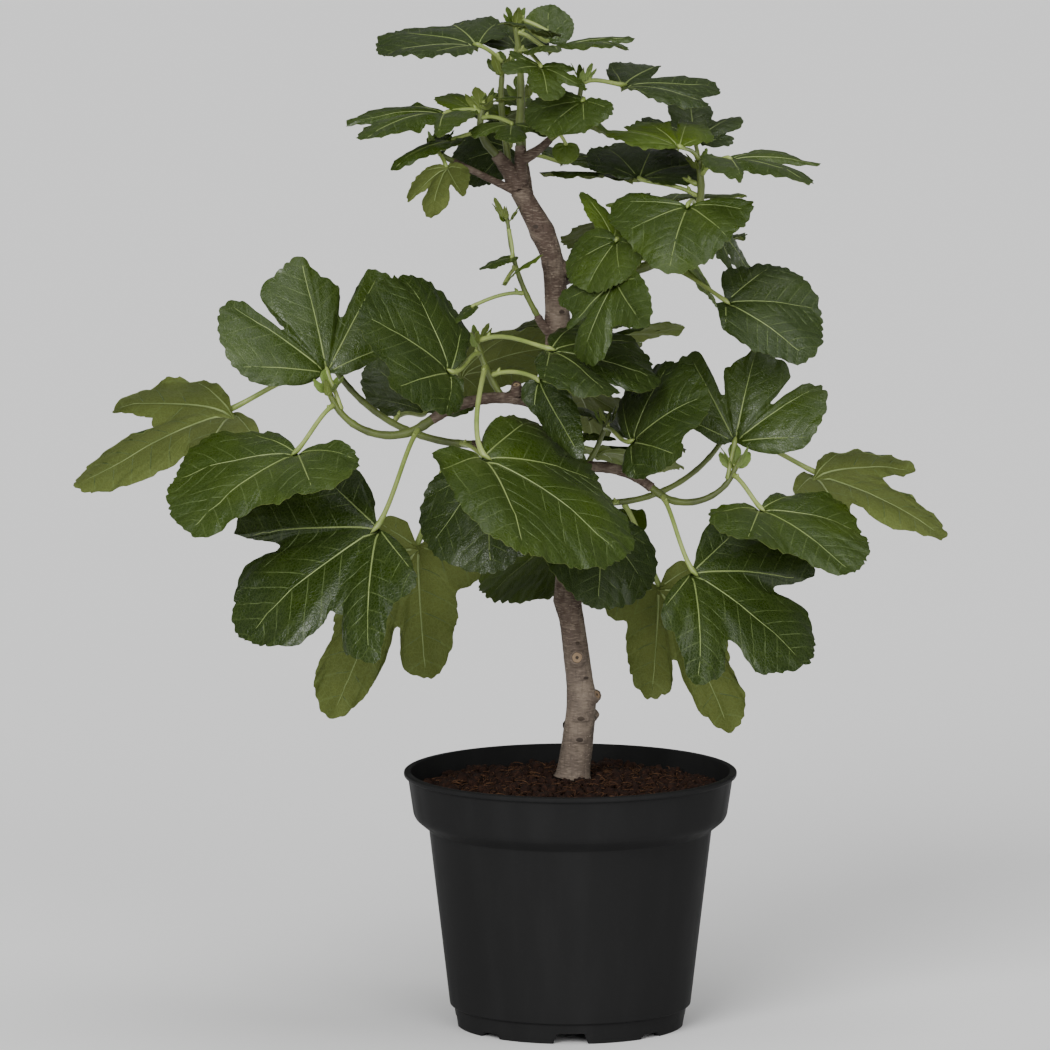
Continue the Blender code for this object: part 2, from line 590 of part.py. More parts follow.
def blade(leaf, group, extra=0.0):
    """Thin closed blade of a leaf, a fan about its heel."""
    angles = sorted(angle * leaf.hand for angle, _ in FORMS[leaf.form])
    shell = bmesh.new()
    bmesh.ops.create_circle(shell, cap_ends=True, cap_tris=True, segments=len(angles), radius=1.0)
    rim = [v for v in shell.verts if v.co.length > 0.5]
    rim.sort(key=lambda v: math.atan2(v.co.y, v.co.x))
    for vert in shell.verts:
        vert.co = Vector(leaf.heel) * MM
    for vert, angle in zip(rim, angles):
        vert.co = blade_point(leaf, angle) * MM
    thickness = (LEAF_THICKNESS * leaf.length + extra) * MM
    bmesh.ops.solidify(shell, geom=shell.faces[:], thickness=thickness)
    bmesh.ops.recalc_face_normals(shell, faces=shell.faces)
    mesh = bpy.data.meshes.new("blade")
    shell.to_mesh(mesh)
    shell.free()
    return add_object("blade", mesh, group)


def petiole_line(leaf, stem_points):
    """Points of a leaf stalk, from inside its stem to just past the heel."""
    root = point_along(stem_points, leaf.along * line_length(stem_points))
    heel = Vector(leaf.heel)
    forward = way(leaf.heading, leaf.rise)
    span = heel - root
    first = root + span * PETIOLE_START[0] + Vector((0, 0, PETIOLE_START[1] * span.length))
    last = heel - (forward + span.normalized()) * PETIOLE_END * span.length
    points = []
    for step in range(PETIOLE_STEPS + 1):
        t = step / PETIOLE_STEPS
        points.append(
            root * (1 - t) ** 3 + first * 3 * t * (1 - t) ** 2
            + last * 3 * t * t * (1 - t) + heel * t ** 3
        )
    points.append(heel + forward * PETIOLE_SINK * leaf.length)
    return points


def spray_tries(spray, index, stem_points):
    """Seeded tries at one leaf of a spray, turned on from the last and kept in its space."""
    chance = random.Random("%s %d" % (spray.stem, index))
    along = (index + 0.7) / spray.count
    root = point_along(stem_points, along * line_length(stem_points))
    for _ in range(SPRAY_TRIES):
        heading = index * TURN_BETWEEN_LEAVES + chance.uniform(-SPRAY_TURN, SPRAY_TURN)
        heel = root + way(heading, chance.uniform(*SPRAY_STALK_RISE)) * chance.uniform(*SPRAY_STALK)
        heading += chance.uniform(-SPRAY_SWING, SPRAY_SWING)
        rise = chance.uniform(*SPRAY_BLADE_RISE)
        roll = chance.uniform(-SPRAY_SWING, SPRAY_SWING)
        length = spray.length * chance.uniform(*SPRAY_SIZE)
        form = chance.choice(SPRAY_FORMS)
        leaf = Leaf(spray.stem, along, tuple(heel), heading, rise, roll, length, form, 1, False)
        if keeps_to(leaf, spray):
            yield leaf


def keeps_to(leaf, spray):
    """Tell whether the whole margin of a leaf lies in the space of its spray."""
    for angle, _ in FORMS[leaf.form]:
        point = blade_point(leaf, angle)
        if any(not low <= value <= high for low, value, high in zip(spray.low, point, spray.high)):
            return False
    return True


def line_length(points):
    """Length of a line of points."""
    return sum((end - start).length for start, end in zip(points, points[1:]))


def tree_of(item):
    """Search tree of an object's triangles."""
    shell = bmesh.new()
    shell.from_mesh(item.data)
    tree = BVHTree.FromBMesh(shell)
    shell.free()
    return tree


def touches(item, trees):
    """Tell whether an object meets any of the search trees."""
    own = tree_of(item)
    return any(own.overlap(tree) for tree in trees)


class Plant:
    """Limbs and leaf masses made so far, with search trees of the room they take."""

    def __init__(self, group, workshop):
        self.group = group
        self.workshop = workshop
        self.lines = {}
        self.limb_trees = {}
        self.taken = []

    def add_limb(self, name, points, radii, sides):
        """Make one bough or the trunk and note where it is."""
        item = tube(name, points, radii, sides, self.group)
        self.lines[name] = (points, radii)
        return item

    def seat(self, item):
        """Cut a limb back from the trunk and boughs in place, a small gap clear of them."""
        own = tree_of(item)
        for name, tree in self.limb_trees.items():
            if own.overlap(tree):
                points, radii = self.lines[name]
                sides = TRUNK_SIDES if name == "trunk" else BOUGH_SIDES
                fat = tube("fat", points, radii, sides, self.workshop, extra=SEAT_ALLOWANCE * GAP)
                item = cut(item, fat, "DIFFERENCE", self.group)
                bpy.data.objects.remove(fat, do_unlink=True)
                keep_largest_body(item.data)
                weld(item.data)
        return item

    def keep_clear_of(self, name, item):
        """Note the room that the trunk or a bough takes."""
        self.limb_trees[name] = tree_of(item)
        self.taken.append(self.limb_trees[name])

    def build_trunk(self):
        """Trunk: from the flat cut at the soil to its fork."""
        points, radii = trunk_line()
        trunk = self.add_limb("trunk", points, radii, TRUNK_SIDES)
        foot = (SOIL_SEAT_HEIGHT + GAP) * MM
        for vert in trunk.data.vertices:
            if vert.co.z < foot + TRUNK_FOOT_RING * MM:
                vert.co.z = foot
        trunk.data.materials.append(finish("wood"))
        smooth(trunk)
        self.keep_clear_of("trunk", trunk)

    def build_bough(self, limb):
        """One bare tapering limb."""
        points, radii = limb_line(limb, self.lines[limb.parent][0])
        item = self.seat(self.add_limb(limb.name, points, radii, BOUGH_SIDES))
        item.data.materials.append(finish("wood"))
        smooth(item)
        self.keep_clear_of(limb.name, item)

    def build_mass(self, limb, leaves, spray):
        """One mass: a stem with its bud, and the stalks and blades joined to it."""
        points, radii = limb_line(limb, self.lines[limb.parent][0])
        forward = (points[-1] - points[-2]).normalized()
        points.append(points[-1] + forward * BUD_LENGTH)
        radii.append(BUD_RADIUS)
        stem = self.seat(self.add_limb(limb.name, points, radii, STEM_SIDES))
        parts = new_collection(limb.name + "_parts")
        own = []
        for leaf in leaves:
            if not self.add_leaf(leaf, points, parts, own):
                print("no room for a leaf of", limb.name)
        if spray:
            for index in range(spray.count):
                for leaf in spray_tries(spray, index, points):
                    if self.add_leaf(leaf, points, parts, own):
                        break
        self.taken += own + [tree_of(stem)] + [tree_of(item) for item in parts.objects]
        mass = self.join(stem, parts)
        mass.data.materials.clear()
        mass.data.materials.append(finish("leaf"))

    def add_leaf(self, leaf, stem_points, parts, own):
        """Add a leaf's stalk and blade, unless it would touch what is in place."""
        stalk, surface = self.leaf_pieces(leaf, stem_points, parts)
        guard = blade(leaf, self.workshop, extra=LEAF_CLEARANCE)
        clear = not touches(guard, self.taken + own) and not touches(stalk, self.taken)
        bpy.data.objects.remove(guard, do_unlink=True)
        if clear:
            own.append(tree_of(surface))
        else:
            bpy.data.objects.remove(stalk, do_unlink=True)
            bpy.data.objects.remove(surface, do_unlink=True)
        return clear

    def leaf_pieces(self, leaf, stem_points, group):
        """Stalk and blade of one leaf, each a closed mesh."""
        line = petiole_line(leaf, stem_points)
        share = PETIOLE_LEAST + PETIOLE_GROWTH * leaf.length / LONG_LEAF
        radii = [PETIOLE_RADIUS * share] * len(line)
        stalk = tube("stalk", line, radii, PETIOLE_SIDES, group)
        return stalk, blade(leaf, group)

    def join(self, stem, parts):
        """Union of a stem with all its leaves, as one body."""
        change = stem.modifiers.new("join", "BOOLEAN")
        change.operation = "UNION"
        change.operand_type = "COLLECTION"
        change.solver = "EXACT"
        change.collection = parts
        mass = baked(stem, self.group, stem.name)
        for item in list(parts.objects):
            bpy.data.objects.remove(item, do_unlink=True)
        bpy.data.collections.remove(parts)
        weld(mass.data)
        keep_largest_body(mass.data)
        return mass


def mirrored_place(place):
    """Place in the right cluster of a place in the left one."""
    offset = (Vector(place) - MIRROR_FROM) * MIRROR_SCALE
    return tuple(MIRROR_TO + Vector((-offset.x, offset.y, offset.z)))


def mirrored_limb(limb):
    """Stem of the right cluster that answers to one of the left."""
    name, parent, at = MIRRORED[limb.name]
    return limb._replace(
        name=name, parent=parent, at=at, length=limb.length * MIRROR_SCALE,
        heading=180 - limb.heading, heading_end=180 - limb.heading_end,
        foot=limb.foot * MIRROR_SCALE, tip=limb.tip * MIRROR_SCALE,
    )


def mirrored_leaf(leaf):
    """Leaf of the right cluster that answers to one of the left."""
    return leaf._replace(
        stem=MIRRORED[leaf.stem][0], heel=mirrored_place(leaf.heel), heading=180 - leaf.heading,
        roll=-leaf.roll, length=leaf.length * MIRROR_SCALE, hand=-leaf.hand,
    )


def main():
    """Build the pot, the soil and the plant."""
    clear_scene()
    group = new_collection("fig_tree_in_pot")
    cutters = new_collection("cutters")
    workshop = new_collection("workshop")
    plant = Plant(group, workshop)
    plant.build_trunk()
    for limb in BOUGHS:
        plant.build_bough(limb)
    leaves = list(LEAVES)
    stems = list(STEMS)
    for stem in STEMS:
        if stem.name in MIRRORED:
            stems.append(mirrored_limb(stem))
            leaves += [mirrored_leaf(leaf) for leaf in LEAVES if leaf.stem == stem.name and leaf.twin]
    sprays = {spray.stem: spray for spray in SPRAYS}
    for stem in stems:
        own = [leaf for leaf in leaves if leaf.stem == stem.name]
        plant.build_mass(stem, own, sprays.get(stem.name))
    bpy.data.collections.remove(workshop)
    build_soil(group)
    build_pot(group, cutters)


if __name__ == "__main__":
    main()
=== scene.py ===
"""Looks of a young fig tree in a nursery pot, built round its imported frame.

The plant grows here by the rule of its solids: a trunk through stations, boughs and stems that
turn evenly, and leaves given by heel, heading, rise and roll. On top of that rule come bark
relief, shoots with buds, toothed and veined blades, finer twigs, crumbly compost and a moulded
pot. Sizes are in millimetres and degrees and are turned into metres as pieces are made.
"""

import json
import logging
import math
import random
from collections.abc import Callable, Iterable, Iterator
from contextlib import contextmanager
from dataclasses import dataclass, field, replace
from enum import Enum

import bmesh
import bpy
from mathutils import Matrix, Vector, noise
from mathutils.bvhtree import BVHTree

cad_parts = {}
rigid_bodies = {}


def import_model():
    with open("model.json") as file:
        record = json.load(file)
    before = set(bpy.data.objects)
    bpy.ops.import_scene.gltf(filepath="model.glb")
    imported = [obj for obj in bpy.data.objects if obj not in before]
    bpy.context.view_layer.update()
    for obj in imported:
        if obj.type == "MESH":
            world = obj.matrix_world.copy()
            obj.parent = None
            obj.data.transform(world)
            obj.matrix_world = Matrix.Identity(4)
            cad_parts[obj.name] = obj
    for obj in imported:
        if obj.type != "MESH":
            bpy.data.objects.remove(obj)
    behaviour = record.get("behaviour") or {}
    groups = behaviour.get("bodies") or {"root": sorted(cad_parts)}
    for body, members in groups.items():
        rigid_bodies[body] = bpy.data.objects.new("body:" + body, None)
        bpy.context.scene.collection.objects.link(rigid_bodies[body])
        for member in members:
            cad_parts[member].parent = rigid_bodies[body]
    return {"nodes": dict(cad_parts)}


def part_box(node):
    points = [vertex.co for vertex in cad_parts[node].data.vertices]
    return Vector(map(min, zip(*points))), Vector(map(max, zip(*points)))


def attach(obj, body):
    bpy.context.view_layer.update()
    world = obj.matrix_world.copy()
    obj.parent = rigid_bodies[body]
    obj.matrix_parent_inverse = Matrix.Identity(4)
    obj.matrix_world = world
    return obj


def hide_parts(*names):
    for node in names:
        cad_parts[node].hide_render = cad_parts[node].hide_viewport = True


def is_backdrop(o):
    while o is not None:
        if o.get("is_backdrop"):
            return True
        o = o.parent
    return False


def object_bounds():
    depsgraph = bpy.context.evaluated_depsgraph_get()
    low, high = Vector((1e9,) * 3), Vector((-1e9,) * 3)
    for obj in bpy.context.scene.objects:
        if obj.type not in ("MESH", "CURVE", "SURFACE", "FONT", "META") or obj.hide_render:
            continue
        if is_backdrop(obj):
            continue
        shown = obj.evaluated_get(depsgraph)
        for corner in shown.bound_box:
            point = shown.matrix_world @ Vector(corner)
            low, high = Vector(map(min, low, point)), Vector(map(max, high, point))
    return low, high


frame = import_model()
LOG = logging.getLogger("fig_tree")
MM = 0.001
GAP = 0.3

# The growing rule, as in the solids


class Tone(Enum):
    """Colour of a leaf's upper side."""

    DARK = "dark"
    MID = "mid"
    LIME = "lime"
    YOUNG = "young"


@dataclass(frozen=True)
class Limb:
    """A limb that turns evenly from its first heading and rise to its last.

    It springs from its parent at a distance along it, or from its tip where that is None.
    Foot and tip are diameters.
    """

    name: str
    parent: str
    at: float | None
    length: float
    heading: float
    rise: float
    heading_end: float
    rise_end: float
    foot: float
    tip: float


@dataclass(frozen=True)
class Leaf:
    """A leaf: its stem, place along it, heel, ways of its midrib, length, outline and tone."""

    stem: str
    along: float
    heel: tuple[float, float, float]
    heading: float
    rise: float
    roll: float
    length: float
    form: str
    hand: int = 1
    twin: bool = True
    tone: Tone = Tone.MID


@dataclass(frozen=True)
class Spray:
    """Leaves behind those in view, kept in a space between two corners."""

    stem: str
    count: int
    length: float
    low: tuple[float, float, float]
    high: tuple[float, float, float]


@dataclass(frozen=True)
class Form:
    """A leaf outline: reach against angle from the tip, and the angles of its main veins."""

    outline: tuple[tuple[float, float], ...]
    veins: tuple[float, ...]


TRUNK_STATIONS = (
    (209, 2, 0, 33), (217, 3, 0, 28), (242, 6, -1, 26), (276, 9, -2, 24), (314, 5, -2, 21.5),
    (344, 1, 0, 20.5), (361, -2, 1, 22.5), (391, -3, 2, 19.5), (436, -6, 2, 20.5),
    (471, -10, 1, 21.5), (521, -13, 0, 21), (560, -13, 0, 18.5), (598, -11, 2, 20),
    (646, -15, 2, 18), (672, -24, 0, 20), (695, -36, 0, 17), (708, -43, 0, 16.5),
)
LIMB_STEP = 14.0
BOUGHS = (
    Limb("bough_left", "trunk", 312, 116, 204, 28, 192, -30, 10.5, 8.5),
    Limb("bough_left_low", "trunk", 278, 74, 168, 5, 176, 4, 8.5, 7),
    Limb("bough_right", "trunk", 259, 88, -20, 22, -20, -32, 10, 8),
    Limb("bough_right_low", "trunk", 230, 40, 15, 8, 8, 4, 8, 6.5),
    Limb("bough_small", "trunk", 377, 26, 200, 32, 190, 62, 8, 6),
    Limb("bough_upper_right", "trunk", 441, 76, 12, -35, 2, 20, 11, 9),
    Limb("bough_top_left", "trunk", None, 36, 180, 60, 200, 50, 14, 10),
    Limb("bough_top_middle", "trunk", 507, 38, 20, 86, 20, 92, 12, 8.5),
    Limb("bough_top_right", "bough_top_middle", 24, 34, -18, 30, -20, 42, 8, 6),
    Limb("bough_twig", "trunk", 502, 68, 196, 26, 194, 27, 6.5, 5),
    Limb("bough_rear_low", "trunk", 245, 70, 96, 22, 84, -2, 9, 7.5),
    Limb("bough_rear_middle", "trunk", 335, 60, 70, 16, 76, -6, 8.5, 7),
    Limb("bough_rear_upper", "trunk", 420, 66, 50, 10, 40, 10, 8, 6.5),
    Limb("bough_rear_top", "trunk", 492, 48, 88, 24, 100, 50, 8, 6.5),
)
STEMS = (
    Limb("leaves_left", "bough_left", None, 102, 192, -30, 174, 62, 8, 5),
    Limb("leaves_left_low", "bough_left_low", None, 138, 176, 4, 184, 56, 6.5, 5),
    Limb("leaves_centre", "bough_left", 50, 50, 175, 58, 160, 70, 6, 4.5),
    Limb("leaves_small", "bough_small", None, 84, 190, 62, 176, 84, 5, 3),
    Limb("leaves_mid_right", "bough_upper_right", 42, 52, -84, 30, -60, 30, 6, 4),
    Limb("leaves_upper_right", "bough_upper_right", None, 112, 2, 20, -40, 96, 8.5, 6),
    Limb("leaves_top_left", "bough_top_left", None, 44, 200, 50, 200, 100, 7, 5),
    Limb("leaves_top_back", "bough_top_left", 16, 84, 110, 70, 180, 94, 6, 4.5),
    Limb("leaves_top_middle", "bough_top_middle", None, 98, 200, 96, 180, 82, 7.5, 5),
    Limb("leaves_top_right", "bough_top_right", None, 58, -20, 42, -30, 80, 5.5, 4),
    Limb("leaves_twig", "bough_twig", None, 14, 194, 27, 194, 40, 5, 4),
    Limb("leaves_rear_low", "bough_rear_low", None, 80, 84, -2, 100, 40, 7, 4.5),
    Limb("leaves_rear_middle", "bough_rear_middle", None, 64, 76, -6, 60, 30, 6.5, 4.5),
    Limb("leaves_rear_upper", "bough_rear_upper", None, 56, 40, 10, 60, 60, 6, 4),
    Limb("leaves_rear_top", "bough_rear_top", None, 60, 100, 50, 80, 80, 6, 4),
)
BUD_LENGTH = 12.0

# The right cluster mirrors the left one about these two heels, at a smaller scale.
MIRROR_SCALE = 0.84
MIRROR_FROM = Vector((-203, -30, 557))
MIRROR_TO = Vector((137, -25, 498))
MIRRORED: dict[str, tuple[str, str, float | None]] = {
    "leaves_left": ("leaves_right", "bough_right", None),
    "leaves_left_low": ("leaves_right_low", "bough_right_low", None),
    "leaves_centre": ("leaves_right_centre", "bough_right", 24),
}

FORMS: dict[str, Form] = {
    "three_lobed": Form((
        (-114, 0.10), (-88, 0.40), (-62, 0.70), (-42, 0.86), (-31, 0.46), (-18, 0.78), (0, 1.00),
        (18, 0.78), (31, 0.46), (42, 0.86), (62, 0.70), (88, 0.40), (114, 0.10),
    ), (0, 42, -42, 80, -80)),
    "five_lobed": Form((
        (-140, 0.14), (-112, 0.48), (-92, 0.50), (-82, 0.38), (-66, 0.70), (-50, 0.80), (-34, 0.50),
        (-20, 0.80), (0, 1.00), (20, 0.80), (34, 0.50), (50, 0.80), (66, 0.70), (82, 0.38),
        (92, 0.50), (112, 0.48), (140, 0.14),
    ), (0, 50, -50, 98, -98)),
    "whole": Form((
        (-125, 0.12), (-100, 0.42), (-72, 0.66), (-45, 0.84), (-20, 0.95), (0, 1.00), (20, 0.95),
        (45, 0.84), (72, 0.66), (100, 0.42), (125, 0.12),
    ), (0, 38, -38, 74, -74)),
    "round": Form((
        (-120, 0.14), (-100, 0.50), (-75, 0.78), (-45, 0.95), (0, 1.00), (45, 0.95), (75, 0.78),
        (100, 0.50), (120, 0.14),
    ), (0, 42, -42, 82, -82)),
    "narrow": Form((
        (-120, 0.10), (-80, 0.20), (-35, 0.34), (-12, 0.70), (0, 1.00), (12, 0.70), (35, 0.34),
        (80, 0.20), (120, 0.10),
    ), (0, 34, -34)),
    "long_lobed": Form((
        (-114, 0.10), (-88, 0.34), (-62, 0.52), (-44, 0.66), (-27, 0.44), (-12, 0.80), (0, 1.00),
        (12, 0.80), (27, 0.44), (44, 0.70), (62, 0.58), (88, 0.36), (114, 0.10),
    ), (0, 44, -44, 86, -86)),
    "upright": Form((
        (-114, 0.10), (-88, 0.32), (-76, 0.62), (-60, 0.84), (-45, 1.00), (-33, 1.00), (-26, 0.48),
        (-19, 0.72), (-6, 0.84), (0, 1.00), (10, 0.92), (26, 0.82), (32, 0.48), (38, 0.86),
        (48, 0.96), (70, 0.82), (86, 0.68), (104, 0.34), (114, 0.10),
    ), (-76, -38, 0, 44, 80)),
    "broad": Form((
        (-126, 0.12), (-118, 0.30), (-98, 0.50), (-72, 0.78), (-54, 0.80), (-30, 0.88), (0, 1.00),
        (9, 0.90), (21, 0.66), (42, 0.68), (68, 0.68), (95, 0.50), (121, 0.14),
    ), (-98, -50, -4, 52, 92)),
    "great": Form((
        (-122, 0.12), (-110, 0.50), (-84, 0.70), (-65, 0.88), (-52, 1.00), (-43, 0.66),
        (-34, 0.90), (-12, 1.06), (0, 1.00), (14, 0.90), (27, 0.60), (38, 0.84), (52, 0.96),
        (66, 0.64), (78, 0.62), (98, 0.16),
    ), (-90, -50, -6, 50, 84)),
    "hanging": Form((
        (-140, 0.12), (-100, 0.34), (-74, 0.36), (-62, 0.32), (-50, 0.46), (-30, 0.72), (-20, 0.68),
        (-13, 0.46), (-8, 0.84), (0, 1.00), (10, 0.88), (16, 0.62), (60, 0.26), (112, 0.22), (135, 0.12),
    ), (-92, -28, 0, 52, 100)),
    "shield": Form((
        (-142, 0.12), (-120, 0.44), (-91, 0.58), (-76, 0.80), (-60, 0.98), (-40, 0.96), (-20, 1.00),
        (0, 1.00), (18, 0.92), (40, 0.80), (65, 0.80), (86, 0.70), (105, 0.38), (116, 0.12),
    ), (-104, -56, -8, 42, 84)),
    "lopsided": Form((
        (-110, 0.12), (-81, 0.16), (-57, 0.34), (-41, 0.50), (-24, 0.64), (-8, 0.84), (0, 1.00),
        (16, 1.04), (42, 0.98), (68, 0.90), (89, 0.72), (108, 0.48), (134, 0.38), (150, 0.12),
    ), (-52, 6, 46, 88)),
    "cupped": Form((
        (-118, 0.14), (-106, 0.50), (-77, 0.80), (-54, 0.96), (-20, 1.00), (0, 1.00), (20, 0.92),
        (32, 0.76), (42, 0.88), (60, 0.74), (84, 0.58), (112, 0.36), (128, 0.12),
    ), (-92, -48, -4, 46, 88)),
    "mitten": Form((
        (-114, 0.12), (-90, 0.60), (-73, 0.86), (-50, 0.96), (-36, 0.90), (-27, 0.64), (-16, 0.96),
        (0, 1.00), (14, 0.92), (48, 0.92), (70, 0.70), (88, 0.52), (105, 0.24), (116, 0.12),
    ), (-84, -46, 0, 44, 82)),
    "clover": Form((
        (-105, 0.12), (-82, 0.60), (-68, 0.82), (-51, 0.68), (-40, 0.82), (-32, 0.52), (-24, 0.92),
        (0, 1.00), (12, 0.92), (21, 0.58), (42, 0.70), (58, 0.92), (77, 0.68), (100, 0.42), (149, 0.16),
    ), (-66, -38, -8, 54, 94)),
    "wide": Form((
        (-112, 0.12), (-92, 0.66), (-70, 0.74), (-47, 0.74), (-27, 0.80), (0, 1.00), (14, 0.94),
        (44, 0.74), (73, 0.64), (95, 0.60), (112, 0.12),
    ), (-84, -44, 0, 42, 84)),
}
LEAVES = (
    Leaf("leaves_left", 0.72, (-203, -30, 558), 115, 57, -11, 108, "upright"),
    Leaf("leaves_left", 0.80, (-228, -70, 497), -134, -25, -1, 132, "broad"),
    Leaf("leaves_left", 0.08, (-161, -95, 437), -168, -44, -33, 139, "great", tone=Tone.DARK),
    Leaf("leaves_left_low", 0.90, (-284, 5, 522), 168, -28, 38, 152, "long_lobed"),
    Leaf("leaves_left_low", 0.08, (-129, 30, 403), 152, -62, 50, 175, "hanging"),
    Leaf("leaves_left_low", 0.06, (-67, -30, 477), -90, -52, 24, 99, "whole", tone=Tone.DARK),
    Leaf("leaves_left_low", 0.45, (-122, 100, 507), 101, 40, 0, 80, "whole", 1, False),
    # This leaf's lime tone is painted light: a paler colour that stands in for the light it lacks in the
    # shadow of the leaves in front.
    Leaf("leaves_rear_low", 0.30, (27, 140, 414), 191, -32, -14, 123, "shield", -1, False, tone=Tone.LIME),
    Leaf("leaves_centre", 0.50, (-72, -124, 501), -11, -32, 14, 146, "shield", 1, False),
    Leaf("leaves_centre", 0.66, (-99, -75, 564), -158, 31, -45, 95, "cupped", tone=Tone.DARK),
    Leaf("leaves_centre", 0.84, (-17, -65, 582), -7, -17, 15, 95, "mitten", 1, False, tone=Tone.DARK),
    Leaf("leaves_centre", 0.34, (-28, -46, 554), -55, -41, 60, 90, "narrow", 1, False, tone=Tone.DARK),
    Leaf("leaves_centre", 0.95, (-94, 40, 547), 3, 15, -33, 89, "whole", 1, False),
    Leaf("leaves_small", 0.80, (-49, -12, 652), -130, -11, 0, 42, "narrow"),
    Leaf("leaves_small", 0.45, (-55, -24, 631), 0, 40, 0, 40, "narrow", tone=Tone.LIME),
    Leaf("leaves_small", 0.20, (-82, -14, 611), -116, -20, 0, 32, "narrow"),
    Leaf("leaves_mid_right", 0.60, (38, -70, 674), -141, -50, -6, 53, "round"),
    Leaf("leaves_mid_right", 0.85, (36, -95, 643), -131, -66, 6, 74, "clover"),
    Leaf("leaves_mid_right", 0.30, (36, -45, 672), 123, 35, 0, 60, "narrow", tone=Tone.LIME),
    Leaf("leaves_upper_right", 0.08, (129, -50, 620), -25, -36, 31, 84, "lopsided", tone=Tone.DARK),
    Leaf("leaves_upper_right", 0.20, (116, -18, 624), 130, 34, 50, 48, "whole", tone=Tone.YOUNG),
    Leaf("leaves_upper_right", 0.60, (97, -60, 702), -103, -31, 0, 90, "wide"),
    Leaf("leaves_upper_right", 0.50, (119, 30, 674), 50, -42, 60, 66, "long_lobed"),
    Leaf("leaves_upper_right", 0.85, (131, -25, 737), -41, -9, 0, 90, "three_lobed"),
    Leaf("leaves_upper_right", 0.95, (90, -45, 749), 122, 14, 0, 66, "upright", tone=Tone.LIME),
    Leaf("leaves_upper_right", 0.70, (57, 10, 716), 77, 18, 10, 64, "round", tone=Tone.DARK),
    Leaf("leaves_upper_right", 0.78, (52, 40, 711), 144, -1, 0, 95, "narrow"),
    Leaf("leaves_upper_right", 0.90, (104, 45, 744), 95, 28, 0, 66, "five_lobed", tone=Tone.DARK),
    Leaf("leaves_top_right", 0.80, (43, -5, 796), 25, -6, 12, 90, "three_lobed", tone=Tone.DARK),
    Leaf("leaves_top_right", 0.50, (10, -60, 789), -135, -28, -8, 53, "round"),
    Leaf("leaves_top_right", 0.10, (-4, -8, 746), -90, -60, 0, 18, "whole", tone=Tone.LIME),
    Leaf("leaves_top_middle", 0.70, (-25, -55, 817), -83, -24, -15, 57, "five_lobed"),
    Leaf("leaves_top_middle", 0.90, (-19, 30, 829), 89, 55, 0, 34, "whole"),
    Leaf("leaves_top_middle", 0.95, (-15, -10, 838), -140, 15, 0, 60, "narrow", tone=Tone.DARK),
    Leaf("leaves_top_middle", 0.85, (-19, -5, 826), -41, 5, 0, 85, "three_lobed"),
    Leaf("leaves_top_back", 0.95, (-78, 0, 829), 146, 0, -10, 92, "whole", tone=Tone.DARK),
    Leaf("leaves_top_back", 0.85, (-45, 35, 823), 110, 15, 0, 54, "whole"),
    Leaf("leaves_top_left", 0.70, (-103, -15, 774), -137, -8, 0, 98, "three_lobed"),
    Leaf("leaves_top_left", 0.90, (-82, -4, 775), 129, 14, 0, 38, "whole", tone=Tone.LIME),
    Leaf("leaves_top_left", 0.35, (-97, -25, 753), -135, -14, 0, 76, "narrow"),
    Leaf("leaves_top_back", 0.40, (-51, 40, 738), 172, -20, -45, 52, "whole", tone=Tone.DARK),
    Leaf("leaves_top_left", 0.60, (-49, -40, 767), -92, -12, 0, 52, "three_lobed"),
    Leaf("leaves_top_left", 0.95, (-72, -20, 781), -33, 14, 0, 38, "narrow"),
    Leaf("leaves_twig", 0.90, (-104, -44, 732), 126, -66, 0, 50, "three_lobed"),
)

SPRAYS = (
    Spray("leaves_rear_low", 7, 104, (-110, 40, 360), (100, 260, 540)),
    Spray("leaves_rear_middle", 6, 92, (-100, 40, 480), (110, 240, 590)),
    Spray("leaves_rear_upper", 6, 84, (-10, 45, 580), (150, 220, 700)),
    Spray("leaves_rear_top", 6, 72, (-110, 50, 690), (90, 200, 810)),
)
TURN_BETWEEN_LEAVES = 137.5
SPRAY_TRIES = 24
SPRAY_FORMS = ("whole", "three_lobed", "mitten", "round")

FOLD = 0.04
RIPPLE = 0.02


def way(heading: float, rise: float) -> Vector:
    """Unit vector of a heading and a rise.

    Args:
        heading: Heading, in degrees.
        rise: Rise above the level, in degrees.

    Returns:
        The unit vector.
    """
    level = math.cos(math.radians(rise))
    turn = math.radians(heading)
    return Vector((level * math.cos(turn), level * math.sin(turn), math.sin(math.radians(rise))))


def spline_between(before: Vector, start: Vector, end: Vector, after: Vector, t: float) -> Vector:
    """Point on the smooth curve through start and end, given the stations beside them.

    Args:
        before: Station before the stretch.
        start: The stretch's first station.
        end: Its last station.
        after: Station after the stretch.
        t: Share along the stretch.

    Returns:
        The point.
    """
    return 0.5 * (
        2 * start
        + (end - before) * t
        + (2 * before - 5 * start + 4 * end - after) * t * t
        + (3 * start - before - 3 * end + after) * t * t * t
    )


def smooth_line(stations: list[Vector], step: float) -> list[Vector]:
    """Walk the smooth curve through stations.

    Args:
        stations: Points of any size; the first three numbers are the place.
        step: Wanted distance between the points made.

    Returns:
        The points, the last station among them.
    """
    line = []
    for index in range(len(stations) - 1):
        start, end = stations[index], stations[index + 1]
        before = stations[max(index - 1, 0)]
        after = stations[min(index + 2, len(stations) - 1)]
        count = max(1, round((end - start).length / step))
        line += [spline_between(before, start, end, after, k / count) for k in range(count)]
    line.append(stations[-1])
    return line


def trunk_line(step: float = 2 * LIMB_STEP) -> tuple[list[Vector], list[float]]:
    """Points and radii of the trunk, on a smooth curve through its stations.

    Args:
        step: Wanted distance between points.

    Returns:
        The points and their radii.
    """
    stations = [Vector((x, y, z, width / 2)) for z, x, y, width in TRUNK_STATIONS]
    line = smooth_line(stations, step)
    return [point.to_3d() for point in line], [point.w for point in line]


